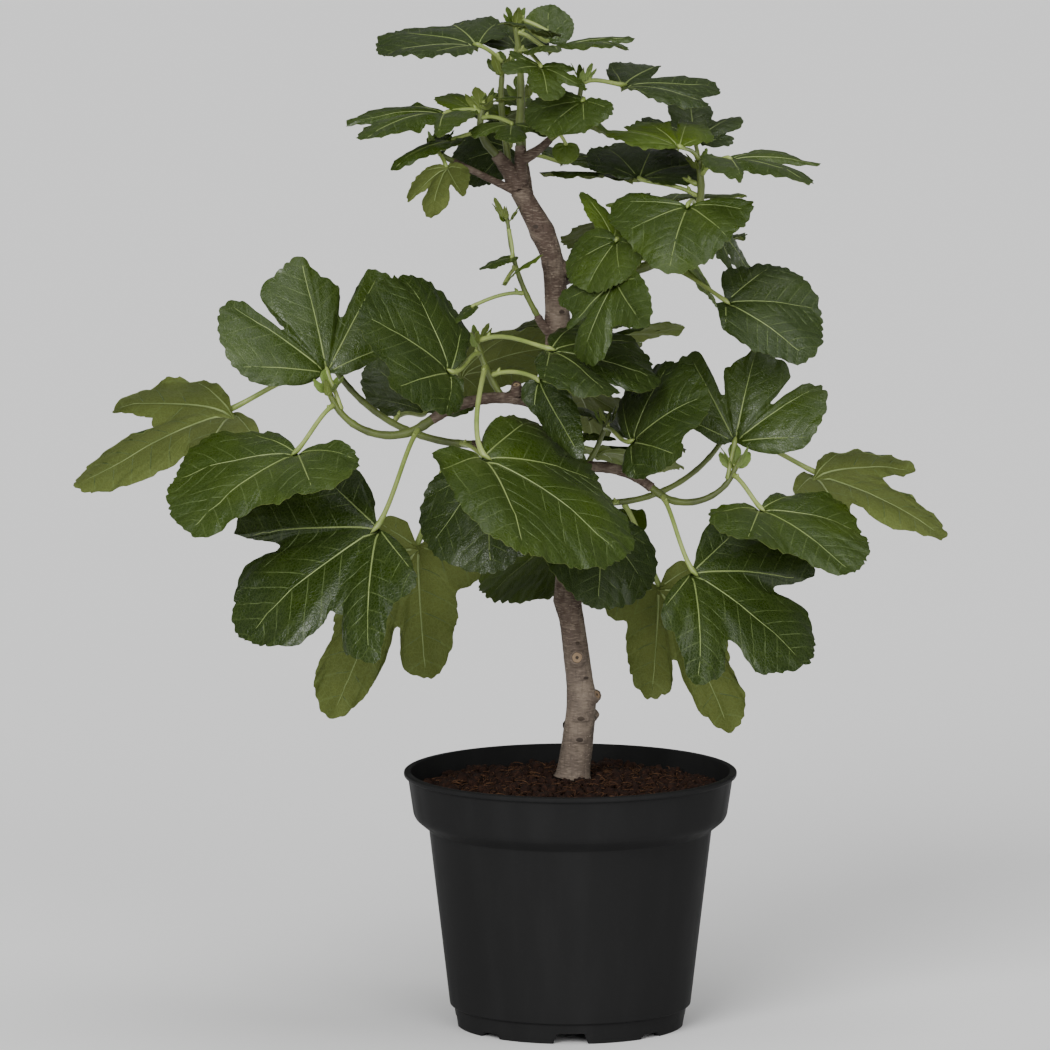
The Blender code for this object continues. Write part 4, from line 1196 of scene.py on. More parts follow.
@dataclass
class Blade:
    """Fine surface of one leaf: toothed margin, sunk main veins, arched and waved blade."""

    leaf: Leaf
    tooth: float = 11.0
    tooth_depth: float = 2.6
    column: float = 2.9
    rings: int = 10
    arch: float = 0.06
    trough: float = 0.014
    wave: float = 0.042
    frill: float = 0.016
    wave_scales: tuple[float, float, float] = (2.6, 7.0, 14.0)
    trough_width: tuple[float, float] = (0.035, 0.03)
    bay_closing: float = 0.34
    bay_roundness: float = 1.55
    vein_spacing: float = 0.125
    least_spacing: float = 8.5
    thickness: float = 0.4
    samples: int = 360
    full_size: float = 90.0
    wander_length: float = 34.0
    swell_length: float = 15.0
    main_vein: tuple[float, float] = (1.10, 0.34)
    side_vein: tuple[float, float] = (0.52, 0.30)
    vein_steps: tuple[float, float] = (7.0, 5.0)
    vein_sides: int = 4
    vein_length: float = 110.0
    columns: list[tuple[float, float]] = field(default_factory=list)

    def __post_init__(self) -> None:
        """Work out the frame of the blade and the columns of its margin."""
        self.forward, self.side, self.normal = blade_frame(self.leaf)
        self.form = FORMS[self.leaf.form]
        self.chance = random.Random("%s %s" % (self.leaf.stem, self.leaf.heel))
        self.seed = Vector([self.chance.uniform(0, 90) for _ in range(3)])
        self.spacing = max(self.vein_spacing, self.least_spacing / self.leaf.length)
        self.slopes = self.outline_slopes()
        self.bays = self.find_bays()
        self.lay_columns()

    def outline_slopes(self) -> list[float]:
        """Slope of the outline at each of its points, level at lobes and at bays.

        Returns:
            One slope for each point.
        """
        points = self.form.outline
        steps = [(b[1] - a[1]) / (b[0] - a[0]) for a, b in zip(points, points[1:])]
        slopes = [steps[0]]
        for before, after in zip(steps, steps[1:]):
            slopes.append(0.0 if before * after <= 0 else 2 * before * after / (before + after))
        return [*slopes, steps[-1]]

    def reach(self, angle: float) -> float:
        """Smooth reach of the margin at an angle of the outline.

        Args:
            angle: Angle from the tip, in degrees.

        Returns:
            The reach, against the length.
        """
        points = self.form.outline
        angle = min(max(angle, points[0][0]), points[-1][0])
        for index in range(len(points) - 1):
            if angle <= points[index + 1][0]:
                break
        (low, near), (high, far) = points[index], points[index + 1]
        width = high - low
        t = (angle - low) / width
        if any(bay[0] == low for bay in self.bays):
            t = t ** self.bay_roundness
        if any(bay[0] == high for bay in self.bays):
            t = 1 - (1 - t) ** self.bay_roundness
        rise, fall = self.slopes[index] * width, self.slopes[index + 1] * width
        return (
            near * (1 + 2 * t) * (1 - t) ** 2 + rise * t * (1 - t) ** 2
            + far * t * t * (3 - 2 * t) + fall * t * t * (t - 1)
        )

    def find_bays(self) -> list[tuple[float, float, float, float, float]]:
        """Deep bays between lobes: angle, reach, angles to both lobes, and the lobes' reach.

        Returns:
            One row for each bay.
        """
        points = self.form.outline
        bays = []
        for index in range(2, len(points) - 2):
            angle, reach = points[index]
            left = next(k for k in range(index - 1, -1, -1) if k == 0 or points[k - 1][1] <= points[k][1])
            right = next(
                k for k in range(index + 1, len(points))
                if k == len(points) - 1 or points[k + 1][1] <= points[k][1]
            )
            lobe = min(points[left][1], points[right][1])
            if points[index - 1][1] > reach < points[index + 1][1] and lobe - reach > 0.12:
                bays.append((angle, reach, angle - points[left][0], points[right][0] - angle, lobe))
        return bays

    def closed_bay(self, angle: float, distance: float) -> float:
        """Angle of a point once lobes have swelled towards the bays between them.

        Args:
            angle: Its angle in the outline.
            distance: Its distance from the heel against the leaf's length.

        Returns:
            The angle, nearer to the middle of a bay the farther the point is past its end.
        """
        for bay, reach, left, right, lobe in self.bays:
            if bay - left < angle < bay + right and distance > reach:
                width = right if angle > bay else -left
                share = (angle - bay) / width
                past = min((distance - reach) / (lobe - reach), 1.0)
                pull = self.bay_closing * math.sin(math.pi * past ** 0.8)
                return bay + share * (1 - pull * (1 - share)) * width
        return angle

    def lay_columns(self) -> None:
        """Space the columns evenly along the margin and give them its teeth."""
        first, last = self.form.outline[0][0], self.form.outline[-1][0]
        angles = [first + (last - first) * k / self.samples for k in range(self.samples + 1)]
        places = []
        for angle in angles:
            turn = math.radians(angle)
            distance = self.reach(angle) * self.leaf.length
            places.append(Vector((distance * math.cos(turn), distance * math.sin(turn))))
        walked = [0.0]
        for start, end in zip(places, places[1:]):
            walked.append(walked[-1] + (end - start).length)
        size = min(1.0, self.leaf.length / self.full_size)
        count = max(28, round(walked[-1] / (self.column * max(size, 0.45))))
        index = 0
        for step in range(count + 1):
            goal = walked[-1] * step / count
            while index < self.samples - 1 and walked[index + 1] < goal:
                index += 1
            span = max(walked[index + 1] - walked[index], 1e-6)
            angle = angles[index] + (angles[index + 1] - angles[index]) * (goal - walked[index]) / span
            wander = noise.noise(Vector((goal / self.wander_length, 0, 0)) + self.seed)
            swell = noise.noise(Vector((goal / self.swell_length, 7, 0)) + self.seed)
            phase = math.pi * (goal / (self.tooth * max(size, 0.4)) + 1.2 * wander)
            fade = soft_step((self.reach(angle) - 0.2) / 0.3)
            tooth = (abs(math.sin(phase)) - 0.62) * (1 + 0.7 * swell) + 0.5 * swell
            reach = self.reach(angle) + self.tooth_depth * size * tooth * fade / self.leaf.length
            self.columns.append((angle, reach))

    def nearest_vein(self, angle: float) -> float:
        """Angle of the main vein nearest to an angle of the outline."""
        return min(self.form.veins, key=lambda vein: abs(angle - vein))

    def place(self, angle: float, distance: float, reach: float) -> Vector:
        """Place of a point of the blade.

        Args:
            angle: Its angle in the outline.
            distance: Its distance from the heel against the leaf's length.
            reach: The margin's reach at that angle.

        Returns:
            The place, in millimetres.
        """
        share = min(distance / max(reach, 1e-6), 1.0)
        turn = math.radians(angle * self.leaf.hand)
        along, across = distance * math.cos(turn), distance * math.sin(turn)
        lift = plane_lift(self.leaf, angle * self.leaf.hand, distance)
        lift += self.arch * 4 * share * (1 - share) * reach
        for vein in self.form.veins:
            off = math.radians(angle - vein)
            if abs(off) < math.pi / 2:
                width = self.trough_width[0] + self.trough_width[1] * share
                lift -= self.trough * hump(distance * math.sin(off), width) * (1 - 0.5 * share)
        sway, ripple, frill = (
            noise.noise(Vector((along * scale, across * scale, layer)) + self.seed)
            for scale, layer in zip(self.wave_scales, (0, 5, 9))
        )
        lift += share * share * self.wave * (1.5 * sway + 0.6 * ripple)
        lift += share ** 4 * self.frill * 2 * frill
        spot = self.forward * along + self.side * across + self.normal * lift
        return Vector(self.leaf.heel) + spot * self.leaf.length

    def sheet(self) -> bmesh.types.BMesh:
        """Make the blade as one open sheet with its vein coordinates.

        Returns:
            The sheet.
        """
        shell = bmesh.new()
        layer = shell.loops.layers.uv.new("veins")
        across = len(self.columns) - 1
        made = bmesh.ops.create_grid(shell, x_segments=across, y_segments=self.rings, size=0.5)
        polar = {}
        for vert in made["verts"]:
            angle, reach = self.columns[round((vert.co.x + 0.5) * across)]
            distance = reach * round((vert.co.y + 0.5) * self.rings) / self.rings
            angle = self.closed_bay(angle, distance)
            polar[vert] = (angle, distance)
            vert.co = self.place(angle, distance, reach) * MM
        for face in shell.faces:
            vein = self.nearest_vein(sum(polar[v][0] for v in face.verts) / len(face.verts))
            for loop in face.loops:
                angle, distance = polar[loop.vert]
                turn = math.radians(angle - vein)
                scale = distance / self.spacing
                loop[layer].uv = (scale * math.cos(turn), scale * math.sin(turn))
        bmesh.ops.remove_doubles(shell, verts=shell.verts, dist=0.002 * MM)
        bmesh.ops.recalc_face_normals(shell, faces=shell.faces)
        return shell

    def thicken(self, sheet: bmesh.types.BMesh) -> None:
        """Give the sheet its second side, against its normals, and the rim between the two.

        Args:
            sheet: The open sheet, which becomes closed.
        """
        sheet.normal_update()
        made = bmesh.ops.extrude_face_region(sheet, geom=sheet.faces[:], use_keep_orig=True)
        for item in made["geom"]:
            if isinstance(item, bmesh.types.BMVert):
                item.co -= item.normal * self.thickness * MM
        bmesh.ops.recalc_face_normals(sheet, faces=sheet.faces)

    def add_to(self, blades: bmesh.types.BMesh, veins: bmesh.types.BMesh) -> None:
        """Add the blade and its veins to the meshes of a region.

        Args:
            blades: Mesh of the blades.
            veins: Mesh of the veins.
        """
        sheet = self.sheet()
        tree = BVHTree.FromBMesh(sheet)
        self.thicken(sheet)
        tone = TONES.index(self.leaf.tone) * 2
        for face in sheet.faces:
            face.material_index = tone if face.normal.dot(self.normal) > 0 else tone + 1
        append(blades, sheet)
        ribs = bmesh.new()
        self.add_main_veins(ribs, tree)
        self.add_side_veins(ribs, tree)
        append(veins, ribs)

    def rib(
        self, shell: bmesh.types.BMesh, tree: BVHTree, path: list[Vector], foot: float, tip: float,
        index: int,
    ) -> None:
        """Add one vein that lies in the sheet along a path in its plane.

        Args:
            shell: The mesh to add it to.
            tree: Search tree of the sheet.
            path: Points of the plane, against the leaf's length.
            foot: Radius at its foot, in millimetres.
            tip: Radius at its tip.
            index: Its material's place in the list.
        """
        points = []
        for spot in path:
            angle = math.degrees(math.atan2(spot.y, spot.x))
            place = self.place(angle, spot.length, max(self.reach(angle), spot.length))
            found, normal, _, _ = tree.find_nearest(place * MM)
            points.append(found / MM - normal * self.thickness / 2)
        if len(points) > 2:
            with new_faces(shell, index):
                tube(shell, points, lambda v, out: foot + (tip - foot) * v, self.vein_sides)

    def add_main_veins(self, shell: bmesh.types.BMesh, tree: BVHTree) -> None:
        """Add the veins that run from the heel into the lobes.

        Args:
            shell: The mesh to add to.
            tree: Search tree of the sheet.
        """
        for vein in self.form.veins:
            end = 0.95 * self.reach(vein)
            turn = Vector((math.cos(math.radians(vein)), math.sin(math.radians(vein))))
            count = max(4, round(end * self.leaf.length / self.vein_steps[0]))
            path = [turn * (end * k / count) for k in range(count + 1)]
            size = (self.leaf.length / self.vein_length) ** 0.6 * (1.0 if abs(vein) < 60 else 0.75)
            foot, tip = self.main_vein
            self.rib(shell, tree, path, foot * size, tip * size, MAIN_VEIN)

    def add_side_veins(self, shell: bmesh.types.BMesh, tree: BVHTree) -> None:
        """Add the side veins of each main vein, out to the margin or the next one's.

        Args:
            shell: The mesh to add to.
            tree: Search tree of the sheet.
        """
        size = (self.leaf.length / self.vein_length) ** 0.5
        foot, tip = self.side_vein
        step = self.vein_steps[1] / self.leaf.length / self.spacing
        for vein in self.form.veins:
            turn = math.radians(vein)
            ahead = Vector((math.cos(turn), math.sin(turn)))
            across = Vector((-math.sin(turn), math.cos(turn)))
            for hand in (-1, 1):
                for number in range(1, math.ceil(0.93 * self.reach(vein) / self.spacing)):
                    path = []
                    out = 0.0
                    spot = ahead * number * self.spacing
                    while self.holds(spot, vein) or not path:
                        path.append(spot)
                        out += step
                        rise = number + VEIN_SLANT * out + VEIN_BEND * out * out
                        spot = (ahead * rise + across * hand * out) * self.spacing
                    self.rib(shell, tree, path, foot * size, tip * size, SIDE_VEIN)

    def holds(self, spot: Vector, vein: float) -> bool:
        """Tell whether a point of the plane is in the blade and in a main vein's part of it.

        Args:
            spot: The point, against the leaf's length.
            vein: Angle of the main vein.

        Returns:
            Whether it is.
        """
        angle = math.degrees(math.atan2(spot.y, spot.x))
        first, last = self.form.outline[0][0], self.form.outline[-1][0]
        inside = first < angle < last and spot.length < 0.96 * self.reach(angle)
        return inside and self.nearest_vein(angle) == vein


def append(shell: bmesh.types.BMesh, part: bmesh.types.BMesh) -> None:
    """Join one mesh to another and free it.

    Args:
        shell: The mesh that grows.
        part: The mesh that is joined and freed.
    """
    mesh = bpy.data.meshes.new("part")
    part.to_mesh(mesh)
    part.free()
    shell.from_mesh(mesh)
    bpy.data.meshes.remove(mesh)


class Growth:
    """Lines of all limbs, and the leaves that the solids have."""

    def __init__(self) -> None:
        """Grow the limbs and sort out the leaves."""
        self.lines: dict[str, tuple[list[Vector], list[float]]] = {"trunk": trunk_line()}
        self.stems = [*STEMS, *(mirrored_limb(s) for s in STEMS if s.name in MIRRORED)]
        self.from_tips = {stem.name for stem in self.stems if stem.at is None}
        for limb in (*BOUGHS, *self.stems):
            self.lines[limb.name] = limb_line(limb, self.lines[limb.parent][0])
        self.trees = {stem.name: self.solid_tree(stem.name) for stem in self.stems}
        self.leaves: dict[str, list[Leaf]] = {stem.name: [] for stem in self.stems}
        twins = [mirrored_leaf(leaf) for leaf in LEAVES if leaf.stem in MIRRORED and leaf.twin]
        for leaf in (*LEAVES, *twins):
            if self.in_solids(leaf):
                self.leaves[leaf.stem].append(leaf)
        for spray in SPRAYS:
            for index in range(spray.count):
                tries = spray_tries(spray, index, self.with_bud(spray.stem))
                found = next((leaf for leaf in tries if self.in_solids(leaf)), None)
                if found:
                    tone = (Tone.MID, Tone.DARK, Tone.MID, Tone.LIME)[index % 4]
                    self.leaves[spray.stem].append(replace(found, tone=tone))

    def solid_tree(self, node: str) -> BVHTree:
        """Search tree of a node's solid."""
        mesh = frame["nodes"][node].data
        return BVHTree.FromPolygons([v.co for v in mesh.vertices], [p.vertices for p in mesh.polygons])

    def with_bud(self, stem: str) -> list[Vector]:
        """Points of a stem out to the tip of its bud."""
        points = self.lines[stem][0]
        return [*points, points[-1] + (points[-1] - points[-2]).normalized() * BUD_LENGTH]

    def in_solids(self, leaf: Leaf) -> bool:
        """Tell whether a leaf's margin lies on the solid of its mass.

        Args:
            leaf: The leaf.

        Returns:
            Whether most of it does.
        """
        tree = self.trees[leaf.stem]
        rim = [margin_point(leaf, angle) for angle, reach in FORMS[leaf.form].outline if reach > 0.3]
        near = [tree.find_nearest(point * MM, 2.5 * MM)[0] is not None for point in rim]
        return sum(near) > 0.8 * len(near)


@dataclass(frozen=True)
class Knot:
    """A pruned shoot's stub or a bud, and the swelling of the bark round it.

    It sits on the trunk at a level and a heading, or at a place of its own where one is given.
    """

    level: float
    heading: float
    rise: float
    radius: float
    height: float
    cut: bool = True
    stretch: float = 1.0
    swell: float = 1.0
    place: tuple[float, float, float] | None = None


KNOT_SIDES = 16
PALE_BARK = 3
KNOT_ZONES = (
    (0, ((1.55, -0.5), (1.45, 0.0), (1.22, 0.45), (1.12, 0.8), (1.0, 1.0), (0.84, 0.98))),
    (2, ((0.84, 0.98), (0.76, 0.84))),
    (1, ((0.76, 0.84), (0.55, 0.86), (0.26, 0.84))),
    (2, ((0.26, 0.84), (0.16, 0.72), (0.0, 0.72))),
)
BUD_ZONES = (
    (0, ((1.5, -0.4), (1.2, 0.1), (1.0, 0.5), (0.7, 0.85))),
    (2, ((0.7, 0.85), (0.5, 0.8), (0.4, 0.95), (0.0, 1.0))),
)
KNOTS = (
    Knot(314, -88, 12, 5.4, 2.6, swell=2.2),
    Knot(325, -80, 30, 2.6, 2.4, False, swell=0.8),
    Knot(281, -38, 24, 4.4, 5.0, swell=2.6),
    Knot(263, -88, 4, 2.6, 1.2, False, 1.7, 0.9),
    Knot(244, -84, 4, 2.6, 1.2, False, 1.7, 0.9),
    Knot(296, -62, 4, 1.8, 0.9, False, 2.0, 0.5),
    Knot(330, 92, 15, 4.2, 2.6, swell=1.6),
    Knot(262, 35, 20, 3.6, 3.6, swell=1.8),
    Knot(255, 140, 10, 3.2, 1.6, False, 1.4, 1.0),
    Knot(425, -95, 20, 2.6, 1.6, False, 1.3, 0.8),
    Knot(515, 130, 25, 4.0, 3.6, swell=1.6),
    Knot(606, -70, 12, 2.4, 1.4, False, 1.5, 0.8),
    Knot(676, -105, 20, 2.6, 1.6, False, 1.4, 0.9),
    Knot(541, -96, 62, 4.0, 6.0, swell=0.0, place=(-45.0, -16.0, 541.0)),
)


@dataclass
class Wood:
    """Trunk and boughs as one mesh with bark relief."""

    growth: Growth
    ring_step: float = 2.6
    trunk_sides: int = 44
    bough_sides: int = 20
    rings: tuple[tuple[float, float, float], ...] = (
        (361, 0.9, 3.0), (598, 0.8, 4.0), (470, 0.6, 5.0), (646, 0.7, 3.0), (672, 0.8, 4.0), (540, 0.4, 3.0),
    )
    knots: tuple[Knot, ...] = KNOTS
    lenticels: int = 420
    lenticel_rows: tuple[float, ...] = (357.0, 364.0, 598.0, 470.0)
    lenticels_in_row: int = 18
    knot_seat: float = 0.55

    def __post_init__(self) -> None:
        """Find the places of the knots."""
        self.seats = {knot: self.seat(knot) for knot in self.knots}

    def seat(self, knot: Knot) -> Vector:
        """Place of a knot, on the bark as it swells round it.

        Args:
            knot: The knot.

        Returns:
            The place, in millimetres.
        """
        if knot.place:
            return Vector(knot.place)
        place, out = self.on_trunk(knot.level, knot.heading)
        return place + out * self.knot_seat * knot.swell

    def bark_radius(self, radius: float, place: Vector, out: Vector) -> float:
        """Radius with the bark's ridges and lumps at a place.

        Args:
            radius: Radius without relief.
            place: Place on the axis.
            out: The way outwards.

        Returns:
            The radius, in millimetres.
        """
        spot = Vector((out.x * 2.2, out.y * 2.2, place.z * 0.035))
        lumps = noise.noise(spot) * 0.045 * radius
        grain = noise.noise(Vector((out.x * 7, out.y * 7, place.z * 0.05))) * 0.028 * radius
        flakes = noise.noise(Vector((out.x * 5, out.y * 5, place.z * 0.45))) * 0.02 * radius
        return radius + lumps + grain + flakes

    def build_trunk(self, shell: bmesh.types.BMesh) -> None:
        """Add the trunk with its rings and the swelling of the bark round its bud scars and pruning cuts.

        Args:
            shell: The mesh to add to.
        """
        points, radii = trunk_line(self.ring_step)
        points = rounded_ends(points, 1.0)
        radii = [radii[0], radii[0], *radii[1:-1], radii[-1] * 0.7, radii[-1]]

        def radius(share: float, out: Vector) -> float:
            """Radius of the trunk at a share along it, outwards.

            Args:
                share: Share along it.
                out: The way outwards.

            Returns:
                The radius, in millimetres.
            """
            index = round(share * (len(points) - 1))
            place = points[index]
            reach = self.bark_radius(radii[index], place, out)
            for height, rise, width in self.rings:
                reach += rise * hump(place.z - height, width)
            surface_point = place + out * reach
            for knot in self.knots:
                off = (surface_point - self.seats[knot]).length
                reach += knot.swell * hump(off, 1.7 * knot.radius)
            return reach

        tube(shell, points, radius, self.trunk_sides)

    def on_trunk(self, height: float, turn: float) -> tuple[Vector, Vector]:
        """Place on the bark at a height and a heading, and the way outwards there.

        Args:
            height: Height, in millimetres.
            turn: Heading round the trunk.

        Returns:
            The place and the unit vector.
        """
        points, radii = trunk_line(self.ring_step)
        index = min(range(len(points)), key=lambda k: abs(points[k].z - height))
        out = way(turn, 0)
        return points[index] + out * self.bark_radius(radii[index], points[index], out), out

    def build_lenticels(self, shell: bmesh.types.BMesh) -> None:
        """Add small pale pores over the trunk, and in rows round its nodes.

        Args:
            shell: The mesh to add to.
        """
        chance = random.Random("lenticels")
        low, high = TRUNK_STATIONS[0][0] + 12, TRUNK_STATIONS[-1][0] - 20
        spots = [(chance.uniform(low, high), chance.uniform(0, 360)) for _ in range(self.lenticels)]
        for row in self.lenticel_rows:
            for index in range(self.lenticels_in_row):
                turn = (index + chance.uniform(-0.3, 0.3)) * 360 / self.lenticels_in_row
                spots.append((row + chance.uniform(-0.8, 0.8), turn))
        for height, turn in spots:
            place, out = self.on_trunk(height, turn)
            made = bmesh.ops.create_icosphere(shell, subdivisions=1, radius=1.0)
            size = chance.uniform(0.35, 0.75)
            across = way(turn + 90, 0)
            for vert in made["verts"]:
                spread = across * vert.co.x * 1.7 + Vector((0, 0, vert.co.y * 0.8)) + out * vert.co.z * 0.6
                vert.co = (place + spread * size) * MM
            for face in {face for vert in made["verts"] for face in vert.link_faces}:
                face.material_index = PALE_BARK

    def build_knot(self, shell: bmesh.types.BMesh, knot: Knot) -> None:
        """Add a knot: a collar of bark round a sunken cut face with a dark heart.

        Args:
            shell: The mesh to add to.
            knot: The knot.
        """
        out = way(knot.heading, knot.rise)
        across = way(knot.heading + 90, 0)
        up = out.cross(across)
        seat = self.seats[knot]
        zones = KNOT_ZONES if knot.cut else BUD_ZONES
        for material, zone in zones:
            count = len(zone) - 1

            def place(u: float, v: float) -> Vector:
                """Place on the knot at a share round it and a share of its zone.

                Args:
                    u: Share round it.
                    v: Share along it.

                Returns:
                    The place, in millimetres.
                """
                share, height = zone[round(v * count)]
                angle = 2 * math.pi * round(u * KNOT_SIDES) / KNOT_SIDES
                ring = across * math.cos(angle) * knot.stretch + up * math.sin(angle)
                wobble = 1 + 0.14 * noise.noise(ring * 1.6 + seat)
                return seat + ring * share * knot.radius * wobble + out * height * knot.height

            with new_faces(shell, material):
                mapped_grid(shell, KNOT_SIDES, count, place)

    def build_bough(self, shell: bmesh.types.BMesh, limb: Limb) -> None:
        """Add one bough, with a collar at its foot and rings of leaf scars.

        Args:
            shell: The mesh to add to.
            limb: The limb.
        """
        line, widths = self.growth.lines[limb.name]
        stations = [Vector((*point, width)) for point, width in zip(line, widths)]
        walk = smooth_line(stations, self.ring_step)
        points = rounded_ends([spot.to_3d() for spot in walk], 1.5)
        widths = [spot.w for spot in walk]
        widths = [widths[0], widths[0], *widths[1:-1], widths[-1] * 0.8, widths[-1]]
        lag = random.Random(limb.name).uniform(0, 12)

        def radius(share: float, out: Vector) -> float:
            """Radius of the bough at a share along it, outwards.

            Args:
                share: Share along it.
                out: The way outwards.

            Returns:
                The radius, in millimetres.
            """
            index = round(share * (len(points) - 1))
            walked = share * limb.length
            reach = self.bark_radius(widths[index], points[index], out)
            reach += 0.32 * widths[index] * hump(walked, 16.0)
            return reach + 0.09 * widths[index] * hump((walked + lag) % 13 - 6.5, 1.6)

        tube(shell, points, radius, self.bough_sides)

    def build(self) -> bpy.types.Object:
        """Make the piece.

        Returns:
            The piece.
        """
        shell = bmesh.new()
        self.build_trunk(shell)
        for limb in BOUGHS:
            self.build_bough(shell, limb)
        for knot in self.knots:
            self.build_knot(shell, knot)
        self.build_lenticels(shell)
        close(shell)
        nodes = ["trunk", *(limb.name for limb in BOUGHS)]
        finishes = [
            BarkFinish().material(),
            SoftFinish("cut_wood", (0.300, 0.210, 0.125), (0.190, 0.125, 0.072), 0.75).material(),
            SoftFinish("knot_heart", (0.028, 0.018, 0.012), (0.050, 0.034, 0.022), 0.85).material(),
            SoftFinish("pale_bark", (0.270, 0.215, 0.165), (0.200, 0.155, 0.115), 0.85).material(),
        ]
        return piece("trunk_and_boughs", shell, finishes, nodes)


# Shares along an end bud, and its widths against its stem
BUD_PROFILE = ((0.12, 0.85), (0.3, 1.05), (0.5, 0.85), (0.7, 0.5), (0.88, 0.25), (1.0, 0.1))
STALK = 1
GREEN_SHOOT_FINISH = SoftFinish("green_shoot", (0.115, 0.150, 0.030), (0.070, 0.088, 0.021), 0.46)
LEAF_STALK_FINISH = SoftFinish("leaf_stalk", (0.285, 0.350, 0.100), (0.190, 0.260, 0.055), 0.42)
MAIN_VEIN_FINISH = SoftFinish("leaf_vein", (0.230, 0.290, 0.095), (0.165, 0.220, 0.062), 0.45)
SIDE_VEIN_FINISH = SoftFinish("side_vein", (0.092, 0.132, 0.034), (0.066, 0.100, 0.024), 0.5)


@dataclass
class Foliage:
    """Shoots, stalks, buds, blades and veins of the masses of one region."""

    growth: Growth
    region: str
    stems: tuple[str, ...]
    shoot_step: float = 3.5
    shoot_sides: int = 12
    seat: float = 4.0
    stalk_sides: int = 8
    stalk_steps: int = 14
    stalk_radius: float = 2.7
    stalk_reach: float = 0.03
    twig_sides: int = 6
    axil_bud: float = 1.7
    node_step: float = 15.0
    twiglets: int = 0
    tip_leaves: int = 3
    tip_leaf_lengths: tuple[float, float] = (13.0, 22.0)

    def shoot(self, shell: bmesh.types.BMesh, name: str) -> None:
        """Add a green shoot with swollen nodes, and its pointed end bud.

        Args:
            shell: The mesh to add to.
            name: The stem.
        """
        line, widths = self.growth.lines[name]
        walk = smooth_line([Vector((*p, w)) for p, w in zip(line, widths)], self.shoot_step)
        points = [spot.to_3d() for spot in walk]
        widths = [spot.w for spot in walk]
        if name in self.growth.from_tips:
            back = (points[0] - points[1]).normalized() * self.seat
            points = [points[0] + back, points[0] + back * 0.8, *points]
            widths = [widths[0], widths[0], *widths]
        forward = (points[-1] - points[-2]).normalized()
        ends = [points[-1] + forward * BUD_LENGTH * share for share, _ in BUD_PROFILE]
        widths += [widths[-1] * width for _, width in BUD_PROFILE]
        points += ends
        lag = random.Random(name).uniform(0, self.node_step)

        def radius(share: float, out: Vector) -> float:
            """Radius of the shoot at a share along it.

            Args:
                share: Share along it.
                out: The way outwards.

            Returns:
                The radius, in millimetres.
            """
            index = round(share * (len(points) - 1))
            place = (index * self.shoot_step + lag) % self.node_step - self.node_step / 2
            lumps = 0.04 * noise.noise(out * 2 + points[index] / 9)
            return widths[index] * (1 + 0.13 * hump(place, 1.8) + lumps)

        tube(shell, points, radius, self.shoot_sides)

    def stalk(self, shell: bmesh.types.BMesh, leaf: Leaf) -> None:
        """Add a leaf stalk, swollen at both ends, with a bud in its axil.

        Args:
            shell: The mesh to add to.
            leaf: The leaf.
        """
        points = petiole_line(leaf, self.growth.with_bud(leaf.stem), self.stalk_steps)
        forward = way(leaf.heading, leaf.rise)
        for _ in range(2):
            points.append(points[-1] + forward * self.stalk_reach * leaf.length)
        size = self.stalk_radius * (0.62 + 0.32 * leaf.length / 150)

        def radius(share: float, out: Vector) -> float:
            """Radius of the stalk at a share along it."""
            swell = 0.45 * hump(share, 0.1) + 0.18 * hump(share - 0.86, 0.1)
            return size * (0.85 + swell) * (1.0 if share < 0.88 else 0.7)

        bud = points[2]
        tip = bud + (points[3] - points[1]).normalized() * 3 + Vector((0, 0, 4.5))
        bud_line = [bud.lerp(tip, k / 5) for k in range(6)]
        with new_faces(shell, STALK):
            tube(shell, points, radius, self.stalk_sides)
            tube(shell, bud_line, self.axil_bud_radius, self.twig_sides)

    def axil_bud_radius(self, share: float, out: Vector) -> float:
        """Radius of a bud in a leaf's axil at a share along it."""
        return self.axil_bud * math.sin(math.pi * min(0.2 + share * 0.8, 1.0))

    def twiglet_leaves(self, name: str, obstacles: list[BVHTree]) -> Iterator[tuple[list[Vector], Leaf]]:
        """Seeded short twigs with young leaves, clear of the leaves in place.

        Args:
            name: The stem they grow from.
            obstacles: Search trees of what they must not touch.

        Yields:
            The line of a twig and the leaf at its end.
        """
        low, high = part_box(name)
        stem = self.growth.with_bud(name)
        chance = random.Random("twig " + name)
        made = 0
        for _ in range(TWIGLET_TRIES):
            if made >= self.twiglets:
                return
            along = chance.uniform(0.35, 0.97)
            root = point_along(stem, along * line_length(stem))
            heading, rise = chance.uniform(0, 360), chance.uniform(20, 70)
            out = way(heading, rise)
            length = chance.uniform(14, 26)
            line = [root + out * (reach * length / 4) + Vector((0, 0, 0.3 * reach)) for reach in range(5)]
            size = chance.uniform(22, 40)
            form = chance.choice(("whole", "three_lobed", "narrow"))
            turn, tip_rise = heading + chance.uniform(-30, 30), chance.uniform(-25, 25)
            leaf = Leaf(name, along, tuple(line[-1]), turn, tip_rise, chance.uniform(-20, 20), size, form,
                        tone=chance.choice((Tone.YOUNG, Tone.LIME, Tone.LIME)))
            rim = [margin_point(leaf, angle) * MM for angle, _ in FORMS[form].outline]
            inside = all(low[axis] < p[axis] < high[axis] for p in rim for axis in range(3))
            if inside and not any(self.meets(leaf, rim, tree) for tree in obstacles):
                made += 1
                yield line, leaf

